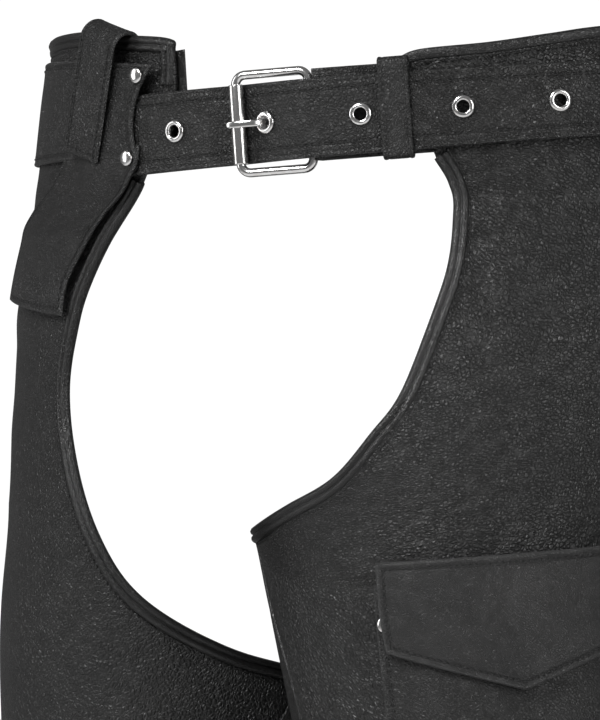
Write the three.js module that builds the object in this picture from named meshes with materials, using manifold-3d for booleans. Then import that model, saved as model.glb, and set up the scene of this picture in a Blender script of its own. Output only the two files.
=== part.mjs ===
// Leather riding chaps as they hang when worn and buckled: two open-seated legs joined by a belted waist.
// Millimetres, +Z up. The wearer faces -Y, so the wearer's left leg is on +X.
// The origin is the centre of the waist ring at the height of the belt's middle.
import * as THREE from "three";
import Module from "manifold-3d";
import { mergeVertices } from "three/addons/utils/BufferGeometryUtils.js";

const wasm = await Module();
wasm.setup();

// ---- Driving dimensions -------------------------------------------------------------------
const LEATHER = 2.4; // thickness of the panels
const GAP = 0.4; // room left between layers that touch
const FACET_ROOM = 1.5; // the same, where a layer's flat facets could cut into the next one's
const WAIST_HALF_WIDTH = 175;
const WAIST_HALF_DEPTH = 112;
const SEAM_TOP = -300; // height where the straight part of the outseam starts
const HEM = -1000; // height of the leg's lower edge
const INSEAM = -95; // angle of the inside leg seam
const OUTSEAM = 90; // angle of the outside leg seam
const BINDING_WIDTH = 6;
const BINDING_THICKNESS = 1.8;
const SEWN_HALF_GAP = 0.12; // degrees between a sewn seam and each of its panels
const ZIP_HALF_GAP = 4.2; // degrees between the outseam and each panel where the zip runs
const BELT_CLEAR = -24.5; // height just below the belt strap

const STRAP_THICKNESS = 3.4;
const STRAP_HALF_HEIGHT = 20.5;
const STRAP_END_HALF_HEIGHT = 18.6;
const STRAP_START = -31; // angles round the waist, positive towards the wearer's left
const STRAP_END = 76;
const EYELET_HOLE_RADIUS = 4.35;
const EYELET_ANGLES = [-20.5, -3.2, 13.4, 30.5, 48.5, 67];
const ROLLER_ANGLE = -7.8;
const PIVOT_ANGLE = 4.4;
const KEEPER_ANGLE = 19.2;

// Each leg's section at a height: [height, centre x, centre y, half width, half depth].
const RIGHT = {
  side: -1,
  upper: [
    [70, 0, 0, WAIST_HALF_WIDTH, WAIST_HALF_DEPTH],
    [-25, 0, 0, WAIST_HALF_WIDTH, WAIST_HALF_DEPTH],
    [-90, -45, 4, 160, 112],
    [-200, -110, 9, 105, 110],
    [-260, -132, 12, 93, 108],
    [SEAM_TOP, -135, 12, 92, 107],
  ],
  lower: [
    [SEAM_TOP, 92, 107],
    [-560, 78, 86],
    [-760, 74, 80],
    [HEM, 78, 84],
  ],
  outseam: { top: [-227, 12], bottom: [-224, 25] },
  // The front opening's edge as [angle, height], from the waist down to the inside seam.
  frontEdge: [
    [21, 46.5], [21.6, 14], [29.8, BELT_CLEAR], [34.8, -52], [33.7, -88], [31, -129], [21.1, -170],
    [6.2, -206.5], [-12.5, -236.5], [-39.5, -263.5], [-61, -277], [INSEAM, -292],
  ],
  // The seat opening's edge, from the waist round to the inside seam.
  seatEdge: [
    [103, 46], [103, -50], [107, -150], [114, -208], [124, -254], [140, -296], [170, -326],
    [205, -335], [240, -325], [360 + INSEAM, -292],
  ],
  topEdge: [[21, 46.5], [35, 51.8], [47, 56], [67, 56], [90, 51], [103, 46]],
  // The row from the crotch meets the outseam here, low enough for no row to cross an edge.
  seamBreak: -430,
  panelRows: 40, // rows down each panel: the front and back share them, so that they meet at the inseam
};
const LEFT = {
  side: 1,
  upper: [
    [70, 0, 0, WAIST_HALF_WIDTH, WAIST_HALF_DEPTH],
    [-25, 0, 0, WAIST_HALF_WIDTH, WAIST_HALF_DEPTH],
    [-90, 20, -12, 155, 113],
    [-209, 52, -38, 105, 111],
    [-250, 55, -44, 100, 110],
    [SEAM_TOP, 60, -45, 98, 109],
  ],
  lower: [
    [SEAM_TOP, 98, 109],
    [-560, 80, 88],
    [-760, 75, 80],
    [HEM, 78, 84],
  ],
  outseam: { top: [158, -45], bottom: [166, -70] },
  frontEdge: [
    [20, 27.5], [25.2, BELT_CLEAR], [27.2, -37], [27.2, -52], [23, -86], [11.8, -136], [1.6, -159],
    [-12, -180], [-30, -192], [-50, -201], [-69, -205], [INSEAM, -208],
  ],
  seatEdge: [
    [103, 36], [103, -50], [108, -110], [116, -150], [130, -182], [152, -204], [180, -214],
    [220, -214], [360 + INSEAM, -208],
  ],
  topEdge: [[20, 27.5], [24, 30], [36, 31], [48, 33.5], [61, 36], [90, 38], [103, 36]],
  seamBreak: -275,
  panelRows: 38,
};

// ---- Curves and forms ---------------------------------------------------------------------
const radians = THREE.MathUtils.degToRad;
const lerp = THREE.MathUtils.lerp;

// A smooth curve through rows of numbers, read at x, that doesn't overshoot between them.
function smoothAt(rows, x) {
  const sorted = [...rows].sort((p, q) => p[0] - q[0]);
  const last = sorted.length - 1;
  const at = THREE.MathUtils.clamp(x, sorted[0][0], sorted[last][0]);
  const i = Math.min(sorted.findIndex((row, n) => n === last || at <= sorted[n + 1][0]), last - 1);
  const slope = (n, k) => (sorted[n + 1][k] - sorted[n][k]) / (sorted[n + 1][0] - sorted[n][0]);
  const tangent = (n, k) => {
    if (n === 0) return slope(0, k);
    if (n === last) return slope(last - 1, k);
    const before = slope(n - 1, k);
    const after = slope(n, k);
    return before * after <= 0 ? 0 : (2 * before * after) / (before + after);
  };
  const h = sorted[i + 1][0] - sorted[i][0];
  const t = (at - sorted[i][0]) / h;
  return sorted[i].slice(1).map((value, j) => {
    const k = j + 1;
    const startPull = (t ** 3 - 2 * t ** 2 + t) * h * tangent(i, k);
    const endPull = (t ** 3 - t ** 2) * h * tangent(i + 1, k);
    const blend = 3 * t ** 2 - 2 * t ** 3;
    return lerp(value, sorted[i + 1][k], blend) + startPull + endPull;
  });
}

// A leg's section at a height: centre x, centre y, half width, half depth.
function section(leg, z) {
  if (z >= SEAM_TOP) return smoothAt(leg.upper, z);
  const [rx, ry] = smoothAt(leg.lower, z);
  const t = (z - SEAM_TOP) / (HEM - SEAM_TOP);
  const x = lerp(leg.outseam.top[0], leg.outseam.bottom[0], t);
  const y = lerp(leg.outseam.top[1], leg.outseam.bottom[1], t);
  return [x - leg.side * rx, y, rx, ry];
}

// How far the right hip stands out sideways, as [height, distance].
const HIP_FLARE = [
  [-185, 0], [-150, -4], [-125, -6.3], [-105, -5.5], [-90, -2.5], [-70, 2.5], [-50, 8.5], [-31, 12.5],
  [-10, 8], [24, 0.5], [40, -3.5], [70, -9],
];
// The flare at a height, where sine is the sine of the angle towards that hip.
const hipFlare = (sine, z) => Math.max(sine, 0) ** 3 * smoothAt(HIP_FLARE, z)[0];

// A point on a leg's outer surface. The angle is 0 at the front and 90 on the outside.
function legPoint(leg, angle, z, offset = 0) {
  const [cx, cy, rx, ry] = section(leg, z);
  const a = radians(angle);
  const normal = new THREE.Vector2((leg.side * Math.sin(a)) / rx, -Math.cos(a) / ry).normalize();
  const flare = leg.side < 0 ? hipFlare(Math.sin(a), z) : 0;
  const x = cx + leg.side * (rx * Math.sin(a) + flare) + offset * normal.x;
  const y = cy - ry * Math.cos(a) + offset * normal.y;
  return new THREE.Vector3(x, y, z);
}

// A point on the waist ring, which is the upper end of both legs' surfaces.
function waistPoint(angle, z, offset = 0) {
  const a = radians(angle);
  const normal = waistNormal(angle);
  return new THREE.Vector3(
    WAIST_HALF_WIDTH * Math.sin(a) - hipFlare(-Math.sin(a), z) + offset * normal.x,
    -WAIST_HALF_DEPTH * Math.cos(a) + offset * normal.y,
    z,
  );
}

function waistNormal(angle) {
  const a = radians(angle);
  return new THREE.Vector3(Math.sin(a) / WAIST_HALF_WIDTH, -Math.cos(a) / WAIST_HALF_DEPTH, 0).normalize();
}

// A closed plate over a grid: place(u, v, side) gives the outer (1) or inner (0) face's point.
function plate(nu, nv, place) {
  const positions = [];
  for (const face of [1, 0])
    for (let j = 0; j <= nv; j++)
      for (let i = 0; i <= nu; i++) positions.push(...place(i / nu, j / nv, face).toArray());
  const id = (i, j, face) => (face ? 0 : (nu + 1) * (nv + 1)) + j * (nu + 1) + i;
  const index = [];
  const quad = (a, b, c, d) => index.push(a, b, c, a, c, d);
  for (let j = 0; j < nv; j++)
    for (let i = 0; i < nu; i++) {
      quad(id(i, j, 1), id(i, j + 1, 1), id(i + 1, j + 1, 1), id(i + 1, j, 1));
      quad(id(i, j, 0), id(i + 1, j, 0), id(i + 1, j + 1, 0), id(i, j + 1, 0));
    }
  for (let j = 0; j < nv; j++) {
    quad(id(0, j, 0), id(0, j + 1, 0), id(0, j + 1, 1), id(0, j, 1));
    quad(id(nu, j, 1), id(nu, j + 1, 1), id(nu, j + 1, 0), id(nu, j, 0));
  }
  for (let i = 0; i < nu; i++) {
    quad(id(i, 0, 0), id(i, 0, 1), id(i + 1, 0, 1), id(i + 1, 0, 0));
    quad(id(i, nv, 1), id(i, nv, 0), id(i + 1, nv, 0), id(i + 1, nv, 1));
  }
  const geometry = new THREE.BufferGeometry();
  geometry.setAttribute("position", new THREE.Float32BufferAttribute(positions, 3));
  geometry.setIndex(index);
  return faceOutwards(geometry);
}

// Turns a closed geometry's faces outwards if its volume is negative.
function faceOutwards(geometry) {
  const p = geometry.getAttribute("position");
  const index = geometry.getIndex().array;
  const [a, b, c] = [new THREE.Vector3(), new THREE.Vector3(), new THREE.Vector3()];
  let volume = 0;
  for (let i = 0; i < index.length; i += 3) {
    a.fromBufferAttribute(p, index[i]);
    b.fromBufferAttribute(p, index[i + 1]);
    c.fromBufferAttribute(p, index[i + 2]);
    volume += a.dot(b.cross(c));
  }
  if (volume < 0)
    for (let i = 0; i < index.length; i += 3) [index[i], index[i + 1]] = [index[i + 1], index[i]];
  return geometry;
}

function toSolid(geometry) {
  const bare = geometry.clone();
  bare.deleteAttribute("normal");
  bare.deleteAttribute("uv");
  const merged = mergeVertices(bare, 1e-4);
  return new wasm.Manifold(
    new wasm.Mesh({
      numProp: 3,
      vertProperties: merged.attributes.position.array,
      triVerts: new Uint32Array(merged.index.array),
    }),
  );
}

function toGeometry(solid) {
  const mesh = solid.getMesh();
  const geometry = new THREE.BufferGeometry();
  geometry.setAttribute("position", new THREE.Float32BufferAttribute(mesh.vertProperties, 3));
  geometry.setIndex([...mesh.triVerts]);
  return geometry;
}

// ---- Materials and placing ----------------------------------------------------------------
const group = new THREE.Group();
const FINISHES = {
  leather: { color: 0x2e2c2d, roughness: 0.55, metalness: 0 },
  trim: { color: 0x262526, roughness: 0.5, metalness: 0 },
  metal: { color: 0xd8d8d8, roughness: 0.15, metalness: 1 },
  tape: { color: 0x141414, roughness: 0.9, metalness: 0 },
  zip: { color: 0x9a9a9a, roughness: 0.3, metalness: 1 },
};

function addPiece(name, geometry, finish, matrix) {
  const mesh = new THREE.Mesh(geometry, new THREE.MeshStandardMaterial(FINISHES[finish]));
  mesh.name = name;
  if (matrix) mesh.applyMatrix4(matrix);
  group.add(mesh);
}

// A frame that stands on a surface: x runs along it, y runs up it and z points out of it.
function standing(point, outward, up = new THREE.Vector3(0, 0, 1)) {
  const along = new THREE.Vector3().crossVectors(up, outward).normalize();
  const trueUp = new THREE.Vector3().crossVectors(outward, along).normalize();
  return new THREE.Matrix4().makeBasis(along, trueUp, outward.clone().normalize()).setPosition(point);
}

// ---- Leg panels ---------------------------------------------------------------------------
// A spline through [angle, height] points, read from 0 to 1.
function edgeCurve(points) {
  return new THREE.SplineCurve(points.map(([a, z]) => new THREE.Vector2(a, z)));
}

// Half the distance between the panels at the outside seam, in degrees: open where the zip runs.
function seamHalfGap(z) {
  return lerp(ZIP_HALF_GAP, SEWN_HALF_GAP, THREE.MathUtils.smoothstep(z, SEAM_TOP, SEAM_TOP + 35));
}

const TOP_SHARE = 0.5; // share of the rows that follow the opening's edge; the rest run down the inseam

// A point of a leg panel. Across 0 is the opening or the inside seam, and 1 is the outside seam.
function panelPlace(leg, edge, inseamAngle) {
  const curve = edgeCurve(edge);
  const direction = inseamAngle > 0 ? 1 : -1;
  const crotch = edge[edge.length - 1][1];
  const tuck = -direction * SEWN_HALF_GAP;
  return (across, down) => {
    const inTop = down < TOP_SHARE;
    const t = inTop ? down / TOP_SHARE : (down - TOP_SHARE) / (1 - TOP_SHARE);
    const inner = inTop ? curve.getPoint(t) : new THREE.Vector2(inseamAngle, lerp(crotch, HEM, t));
    const topZ = smoothAt(leg.topEdge, OUTSEAM)[0];
    const outerZ = inTop ? lerp(topZ, leg.seamBreak, t) : lerp(leg.seamBreak, HEM, t);
    const outerAngle = OUTSEAM + direction * seamHalfGap(outerZ);
    const nearSeam = Math.abs(inner.x - inseamAngle) < 0.5 ? tuck : 0;
    const angle = lerp(inner.x + nearSeam, outerAngle, across);
    const flat = lerp(inner.y, outerZ, across);
    const wanted = smoothAt(leg.topEdge, lerp(edge[0][0], OUTSEAM, across))[0];
    const lift = inTop ? (wanted - lerp(edge[0][1], topZ, across)) * (1 - t) ** 3 : 0;
    return [angle, flat + lift];
  };
}

function legPanel(leg, edge, inseamAngle, nu, nv) {
  const where = panelPlace(leg, edge, inseamAngle);
  return plate(nu, nv, (u, v, face) => {
    const [angle, z] = where(u, v);
    return legPoint(leg, angle, z, face ? 0 : -LEATHER);
  });
}

// A narrow strip that lies on the surface along an edge, inside it. Low is its inner face's height.
function edgeStrip(leg, points, steps, width, low = FACET_ROOM) {
  const curve = edgeCurve(points);
  const nearby = 0.004; // share of the edge that its direction is measured over, each way
  const at = (t) => {
    const p = curve.getPoint(THREE.MathUtils.clamp(t, 0, 1));
    return legPoint(leg, p.x, p.y, 0);
  };
  return plate(steps, 1, (u, v, face) => {
    const p = curve.getPoint(u);
    const here = at(u);
    const outward = legPoint(leg, p.x, p.y, 1).sub(here);
    const ahead = at(u + nearby).sub(at(u - nearby));
    const inward = new THREE.Vector3().crossVectors(ahead, outward).normalize();
    inward.multiplyScalar(-leg.side);
    const height = low + (face ? BINDING_THICKNESS : 0);
    return here.addScaledVector(inward, v * width).addScaledVector(outward, height);
  });
}

// The binding that runs up the right panel's front corner and along its top edge.
const RIGHT_TOP_BINDING = [
  [21.6, 24], [21.1, 41], [22.4, 46.9], [35, 51.8], [47, 56], [67, 56], [90, 51], [100, 47.3],
];

const SEAM_ROOM = 1; // degrees
const CUFF_HEIGHT = 16;
const CUFF_HALF_GAP = 5; // degrees between the outseam and each end of the cuff
const SEAT_BINDING_LOW = 2.4; // the seat binding's inner face, over the front binding's where they meet

// The same edge with its last point turned a little, so that two bindings that meet don't touch.
function shortened(points, turn) {
  const [angle, z] = points[points.length - 1];
  return [...points.slice(0, -1), [angle + turn, z]];
}

function addLeg(leg, name) {
  addPiece(name + "_front_panel", legPanel(leg, leg.frontEdge, INSEAM, 12, leg.panelRows), "leather");
  addPiece(name + "_back_panel", legPanel(leg, leg.seatEdge, 360 + INSEAM, 10, leg.panelRows), "leather");
  const belowBelt = leg.frontEdge.filter(([, z]) => z <= BELT_CLEAR);
  const front = edgeStrip(leg, shortened(belowBelt, SEAM_ROOM), 40, BINDING_WIDTH);
  const seatEdge = shortened(leg.seatEdge, -SEAM_ROOM);
  const seat = edgeStrip(leg, seatEdge, 40, -BINDING_WIDTH, SEAT_BINDING_LOW);
  addPiece(name + "_front_binding", front, "trim");
  addPiece(name + "_seat_binding", seat, "trim");
  const cuff = plate(28, 1, (u, v, face) => {
    const angle = lerp(OUTSEAM + CUFF_HALF_GAP, OUTSEAM + 360 - CUFF_HALF_GAP, u);
    return legPoint(leg, angle, lerp(HEM + CUFF_HEIGHT, HEM, v), FACET_ROOM + (face ? 2 : 0));
  });
  addPiece(name + "_cuff", cuff, "trim");
}

// ---- Zips ---------------------------------------------------------------------------------
const ZIP_TOP = SEAM_TOP - 12;
const ZIP_BOTTOM = HEM + 14;
const ZIP_TEETH_HALF = 2.8;
const TAPE_WIDTH = 13;
const SLIDER_HEIGHT = ZIP_BOTTOM + 18;
const PULL_OFFSET = 4.2; // height of the pull's middle over the slider's base

// The outside seam's direction down the leg, and a frame on it at a height.
function zipFrame(leg, z, offset) {
  const up = legPoint(leg, OUTSEAM, SEAM_TOP).sub(legPoint(leg, OUTSEAM, HEM)).normalize();
  const across = new THREE.Vector3().crossVectors(up, new THREE.Vector3(leg.side, 0, 0)).normalize();
  const outward = new THREE.Vector3().crossVectors(across, up);
  return new THREE.Matrix4().makeBasis(across, up, outward).setPosition(legPoint(leg, OUTSEAM, z, offset));
}

// The slider straddles the teeth: a top plate with two sides, and an arch that holds the pull.
function zipSlider() {
  const outline = new THREE.Shape();
  outline.moveTo(-5.2, -1.2);
  outline.lineTo(-3.5, -1.2);
  outline.lineTo(-3.5, 1.6);
  outline.lineTo(3.5, 1.6);
  outline.lineTo(3.5, -1.2);
  outline.lineTo(5.2, -1.2);
  outline.lineTo(5.2, 2);
  outline.lineTo(3.6, 3.2);
  outline.lineTo(-3.6, 3.2);
  outline.lineTo(-5.2, 2);
  outline.closePath();
  const body = new THREE.ExtrudeGeometry(outline, { depth: 14, bevelEnabled: false });
  body.rotateX(Math.PI / 2);
  body.translate(0, 7, 0);
  const arch = new THREE.Shape();
  arch.moveTo(-4, 2.9);
  arch.lineTo(-2.6, 2.9);
  arch.lineTo(-2.6, 5.2);
  arch.lineTo(2.6, 5.2);
  arch.lineTo(2.6, 2.9);
  arch.lineTo(4, 2.9);
  arch.lineTo(4, 5.6);
  arch.lineTo(2.8, 6.6);
  arch.lineTo(-2.8, 6.6);
  arch.lineTo(-4, 5.6);
  arch.closePath();
  const bridge = new THREE.ExtrudeGeometry(arch, { depth: 2.6, bevelEnabled: false });
  bridge.rotateX(Math.PI / 2);
  bridge.rotateZ(Math.PI / 2);
  bridge.translate(-1.3, 0, 0);
  return toGeometry(toSolid(body).add(toSolid(bridge)));
}

function zipPull() {
  const tab = new THREE.Shape();
  tab.moveTo(-2.6, 2);
  tab.lineTo(-4, -8);
  tab.lineTo(-4, -27);
  tab.lineTo(-2.8, -30.8);
  tab.lineTo(2.8, -30.8);
  tab.lineTo(4, -27);
  tab.lineTo(4, -8);
  tab.lineTo(2.6, 2);
  tab.closePath();
  const body = new THREE.ExtrudeGeometry(tab, { depth: 1.2, bevelEnabled: false });
  body.translate(0, 0, -0.6);
  const eye = new THREE.BoxGeometry(3.4, 5.5, 6);
  eye.translate(0, -1.9, 0);
  return toGeometry(toSolid(body).subtract(toSolid(eye)));
}

function addZip(leg, name) {
  for (const [label, sign] of [["front", -1], ["back", 1]]) {
    const tape = plate(2, 10, (u, v, face) => {
      const z = lerp(ZIP_TOP, ZIP_BOTTOM, v);
      const perDegree = legPoint(leg, OUTSEAM + 1, z).distanceTo(legPoint(leg, OUTSEAM, z));
      const across = ZIP_TEETH_HALF + 0.5 + u * TAPE_WIDTH;
      const angle = OUTSEAM + (sign * across) / perDegree;
      return legPoint(leg, angle, z, -LEATHER - FACET_ROOM - (face ? 0 : 1));
    });
    addPiece(`${name}_zip_${label}_tape`, tape, "tape");
  }
  const length = ZIP_TOP - ZIP_BOTTOM;
  const teeth = new THREE.BoxGeometry(2 * ZIP_TEETH_HALF, length, 2.4);
  addPiece(`${name}_zip_teeth`, teeth, "zip", zipFrame(leg, (ZIP_TOP + ZIP_BOTTOM) / 2, -LEATHER));
  addPiece(`${name}_zip_slider`, zipSlider(), "metal", zipFrame(leg, SLIDER_HEIGHT, -2));
  addPiece(`${name}_zip_pull`, zipPull(), "metal", zipFrame(leg, SLIDER_HEIGHT, PULL_OFFSET - 2));
  const stop = new THREE.BoxGeometry(2 * ZIP_TEETH_HALF + 2, 4, 3.6);
  addPiece(`${name}_zip_stop`, stop, "metal", zipFrame(leg, ZIP_BOTTOM - 3, -LEATHER));
}

// ---- Waist: facings, belt, buckle -----------------------------------------------------------
// The strap's outer face over the panels, dipping under the roller and rising over the pivot bar.
const STRAP_RISE = [
  [STRAP_START, 4.2], [-20, 4.2], [-14, 3.4], [ROLLER_ANGLE, 1.5], [-2, 5.2], [PIVOT_ANGLE, 9.6],
  [10, 8.4], [17, 7], [22, 6.8], [30, 4.2], [STRAP_END, 4.2],
];
const strapOffset = (angle) => smoothAt(STRAP_RISE, angle)[0];

function strapHalfHeight(angle) {
  const tip = THREE.MathUtils.clamp((STRAP_END - angle) / 6, 0, 1);
  const rounding = Math.sqrt(lerp(0.12, 1, tip));
  return lerp(STRAP_HALF_HEIGHT, STRAP_END_HALF_HEIGHT, (angle - STRAP_START) / 110) * rounding;
}

function addStrap() {
  const whole = plate(64, 2, (u, v, face) => {
    const angle = lerp(STRAP_START, STRAP_END, u);
    const z = lerp(1, -1, v) * strapHalfHeight(angle);
    return waistPoint(angle, z, strapOffset(angle) - (face ? 0 : STRAP_THICKNESS));
  });
  let solid = toSolid(whole);
  EYELET_ANGLES.forEach((angle, n) => {
    const frame = eyeletFrame(angle);
    const punch = new THREE.CylinderGeometry(EYELET_HOLE_RADIUS, EYELET_HOLE_RADIUS, 14, 12);
    punch.rotateX(Math.PI / 2);
    punch.applyMatrix4(frame);
    solid = solid.subtract(toSolid(punch));
    addPiece(`eyelet_${n + 1}`, eyelet(), "metal", frame);
  });
  addPiece("eyelet_strap", toGeometry(solid), "leather");
}

function eyeletFrame(angle) {
  const step = 0.5;
  const before = waistPoint(angle - step, 0, strapOffset(angle - step));
  const after = waistPoint(angle + step, 0, strapOffset(angle + step));
  const along = after.sub(before).normalize();
  const outward = new THREE.Vector3().crossVectors(along, new THREE.Vector3(0, 0, 1)).normalize();
  return standing(waistPoint(angle, 0, strapOffset(angle)), outward);
}

// A rolled eyelet: a flange on the strap's face and a barrel through its hole.
function eyelet() {
  const profile = [
    [3.15, -STRAP_THICKNESS], [3.15, 0.9], [3.8, 1.5], [5.2, 1.3], [5.7, 0.4], [4, 0.35],
    [4, -STRAP_THICKNESS],
  ];
  const points = [...profile, profile[0]].map(([x, y]) => new THREE.Vector2(x, y));
  const geometry = mergeVertices(new THREE.LatheGeometry(points, 14).deleteAttribute("normal")
    .deleteAttribute("uv"), 1e-4);
  geometry.rotateX(Math.PI / 2);
  return faceOutwards(geometry);
}

function rivet(radius, height) {
  const points = [[0, 0], [radius, 0], [radius, height * 0.4], [radius * 0.7, height * 0.85], [0, height]];
  const geometry = new THREE.LatheGeometry(points.map(([x, y]) => new THREE.Vector2(x, y)), 14);
  geometry.deleteAttribute("normal");
  geometry.deleteAttribute("uv");
  const merged = mergeVertices(geometry, 1e-4);
  merged.rotateX(Math.PI / 2);
  return faceOutwards(merged);
}

// A plate on the waist ring between two angles, with its edges and its outer face given by functions.
function waistPlate(start, end, nu, top, bottom, outer, thickness) {
  return plate(nu, 2, (u, v, face) => {
    const angle = lerp(start, end, u);
    return waistPoint(angle, lerp(top(angle), bottom(angle), v), outer(angle) - (face ? 0 : thickness));
  });
}

const WIRE = 4.6;
const TURNING_ROOM = 0.35; // round the wire, inside the roller, the prong's eye and the billet
const ROLLER_RADIUS = 3.75;
const BUCKLE_HALF_HEIGHT = 24.6;
const ROLLER_OFFSET = strapOffset(ROLLER_ANGLE) + 0.3 + ROLLER_RADIUS;
const ROLLER_CENTRE = waistPoint(ROLLER_ANGLE, 0, ROLLER_OFFSET);
const BAR_UNDER_STRAP = 3.2;
const PIVOT_OFFSET = strapOffset(PIVOT_ANGLE) - STRAP_THICKNESS - BAR_UNDER_STRAP - WIRE / 2;
const PIVOT_CENTRE = waistPoint(PIVOT_ANGLE, 0, PIVOT_OFFSET);

// The buckle's own frame: the origin is on the pivot bar, x points to the roller, y up and z inwards.
function buckleFrame() {
  const toRoller = ROLLER_CENTRE.clone().sub(PIVOT_CENTRE).normalize();
  const up = new THREE.Vector3(0, 0, 1);
  const inward = new THREE.Vector3().crossVectors(toRoller, up);
  return new THREE.Matrix4().makeBasis(toRoller, up, inward).setPosition(PIVOT_CENTRE);
}

function addBuckle() {
  const reach = ROLLER_CENTRE.distanceTo(PIVOT_CENTRE);
  const [low, high] = [-BUCKLE_HALF_HEIGHT, BUCKLE_HALF_HEIGHT];
  const corner = 5;
  const corners = [[reach, low], [reach, high], [0, high], [0, low]];
  const loop = [];
  corners.forEach(([x, y], n) => {
    const start = (n * Math.PI) / 2 - Math.PI / 2;
    const cx = x + (x > 0 ? -corner : corner);
    const cy = y + (y > 0 ? -corner : corner);
    for (let k = 0; k <= 4; k++) {
      const a = start + (k / 4) * (Math.PI / 2);
      loop.push(new THREE.Vector3(cx + corner * Math.cos(a), cy + corner * Math.sin(a), 0));
    }
  });
  const wire = roundLoop(loop, WIRE / 2, 8);
  addPiece("buckle_frame", wire, "metal", buckleFrame());

  const bore = WIRE / 2 + TURNING_ROOM;
  const end = 20; // half the roller's length
  const tube = [[bore, -end], [ROLLER_RADIUS, -end], [ROLLER_RADIUS, end], [bore, end], [bore, -end]];
  const roller = new THREE.LatheGeometry(tube.map(([x, y]) => new THREE.Vector2(x, y)), 20);
  roller.deleteAttribute("normal");
  roller.deleteAttribute("uv");
  const rollerMesh = faceOutwards(mergeVertices(roller, 1e-4));
  rollerMesh.translate(reach, 0, 0);
  addPiece("buckle_roller", rollerMesh, "metal", buckleFrame());

  addPiece("buckle_prong", prong(reach), "metal", buckleFrame());
}

// A closed round-section ring through a loop of points in one plane.
function roundLoop(loop, radius, sides) {
  const count = loop.length;
  const positions = [];
  const index = [];
  loop.forEach((point, n) => {
    const along = loop[(n + 1) % count].clone().sub(loop[(n + count - 1) % count]).normalize();
    const across = new THREE.Vector3(along.y, -along.x, 0);
    for (let k = 0; k < sides; k++) {
      const a = (k / sides) * 2 * Math.PI;
      const p = point.clone().addScaledVector(across, radius * Math.cos(a));
      positions.push(p.x, p.y, p.z + radius * Math.sin(a));
      const next = ((n + 1) % count) * sides;
      const m = (k + 1) % sides;
      index.push(n * sides + k, next + k, next + m, n * sides + k, next + m, n * sides + m);
    }
  });
  const geometry = new THREE.BufferGeometry();
  geometry.setAttribute("position", new THREE.Float32BufferAttribute(positions, 3));
  geometry.setIndex(index);
  return faceOutwards(geometry);
}

// The prong: an eye round the pivot bar, then a flat tongue up through an eyelet and over the roller.
function prong(reach) {
  const bar = WIRE / 2;
  const line = [
    [bar + 1.6, 0.8], [19.2, 3.5], [27, -3.2], [31, -4.9], [reach, -5], [reach + 5, -3.4],
  ];
  const half = 0.75; // half the tongue's thickness
  const width = 3.6;
  const shape = new THREE.Shape();
  line.forEach(([x, z], n) => (n ? shape.lineTo(x, z - half) : shape.moveTo(x, z - half)));
  [...line].reverse().forEach(([x, z]) => shape.lineTo(x, z + half));
  shape.closePath();
  const tongue = new THREE.ExtrudeGeometry(shape, { depth: width, bevelEnabled: false });
  tongue.rotateX(Math.PI / 2);
  tongue.translate(0, width / 2, 0);
  const ring = new THREE.Shape();
  ring.absarc(0, 0, bar + 2.6, 0, 2 * Math.PI, false);
  const hole = new THREE.Path();
  hole.absarc(0, 0, bar + TURNING_ROOM, 0, 2 * Math.PI, true);
  ring.holes.push(hole);
  const eye = new THREE.ExtrudeGeometry(ring, { depth: width, bevelEnabled: false, curveSegments: 8 });
  eye.rotateX(Math.PI / 2);
  eye.translate(0, width / 2, 0);
  return toGeometry(toSolid(tongue).add(toSolid(eye)));
}

// The billet holds the buckle: it folds round the pivot bar and runs back under the left panel.
function addBillet() {
  const wrap = WIRE / 2 + 2.6;
  const outerRun = [[34, -2.9], [17.5, -2.9], [10, 2.4], [7, 4.6]];
  const innerRun = [[8, -4.6], [17.5, -6], [25, -6], [34, -6]];
  const plan = (angle, offset) => {
    const p = waistPoint(angle, 0, offset);
    return new THREE.Vector2(p.x, p.y);
  };
  const centre = new THREE.Vector2(PIVOT_CENTRE.x, PIVOT_CENTRE.y);
  const normal = waistNormal(PIVOT_ANGLE);
  const facing = Math.atan2(normal.y, normal.x);
  const points = [];
  for (let k = 0; k < outerRun.length - 1; k++)
    for (let n = 0; n < 3; n++) {
      const t = n / 3;
      const [from, to] = [outerRun[k], outerRun[k + 1]];
      points.push(plan(lerp(from[0], to[0], t), lerp(from[1], to[1], t)));
    }
  points.push(plan(...outerRun[outerRun.length - 1]));
  for (let k = 0; k <= 8; k++) {
    const a = facing - (k / 8) * Math.PI;
    points.push(centre.clone().add(new THREE.Vector2(wrap * Math.cos(a), wrap * Math.sin(a))));
  }
  for (const [angle, offset] of innerRun) points.push(plan(angle, offset));
  const shape = new THREE.Shape(points);
  const [low, high] = [-21.3, 24.8];
  const body = new THREE.ExtrudeGeometry(shape, { depth: high - low, bevelEnabled: false });
  body.translate(0, 0, low);
  const boreRadius = WIRE / 2 + TURNING_ROOM;
  const bore = new THREE.CylinderGeometry(boreRadius, boreRadius, 80, 12);
  bore.rotateX(Math.PI / 2);
  bore.translate(centre.x, centre.y, 0);
  const slot = new THREE.BoxGeometry(26, 16, 5);
  slot.applyMatrix4(buckleFrame().multiply(new THREE.Matrix4().makeRotationX(Math.PI / 2))
    .multiply(new THREE.Matrix4().makeTranslation(4.5, 0, 0)));
  // Above and below the bar's straight part the wrap is cut back, clear of the wire's corners.
  let billet = toSolid(body).subtract(toSolid(bore)).subtract(toSolid(slot));
  const straightHalf = 18.6; // half the bar's straight part
  const trimHeight = 10;
  for (const side of [1, -1]) {
    const trim = new THREE.BoxGeometry(13, trimHeight, 20);
    trim.translate(3.6, side * (straightHalf + trimHeight / 2), 0);
    trim.applyMatrix4(buckleFrame());
    billet = billet.subtract(toSolid(trim));
  }
  addPiece("buckle_billet", toGeometry(billet), "leather");
}

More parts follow.
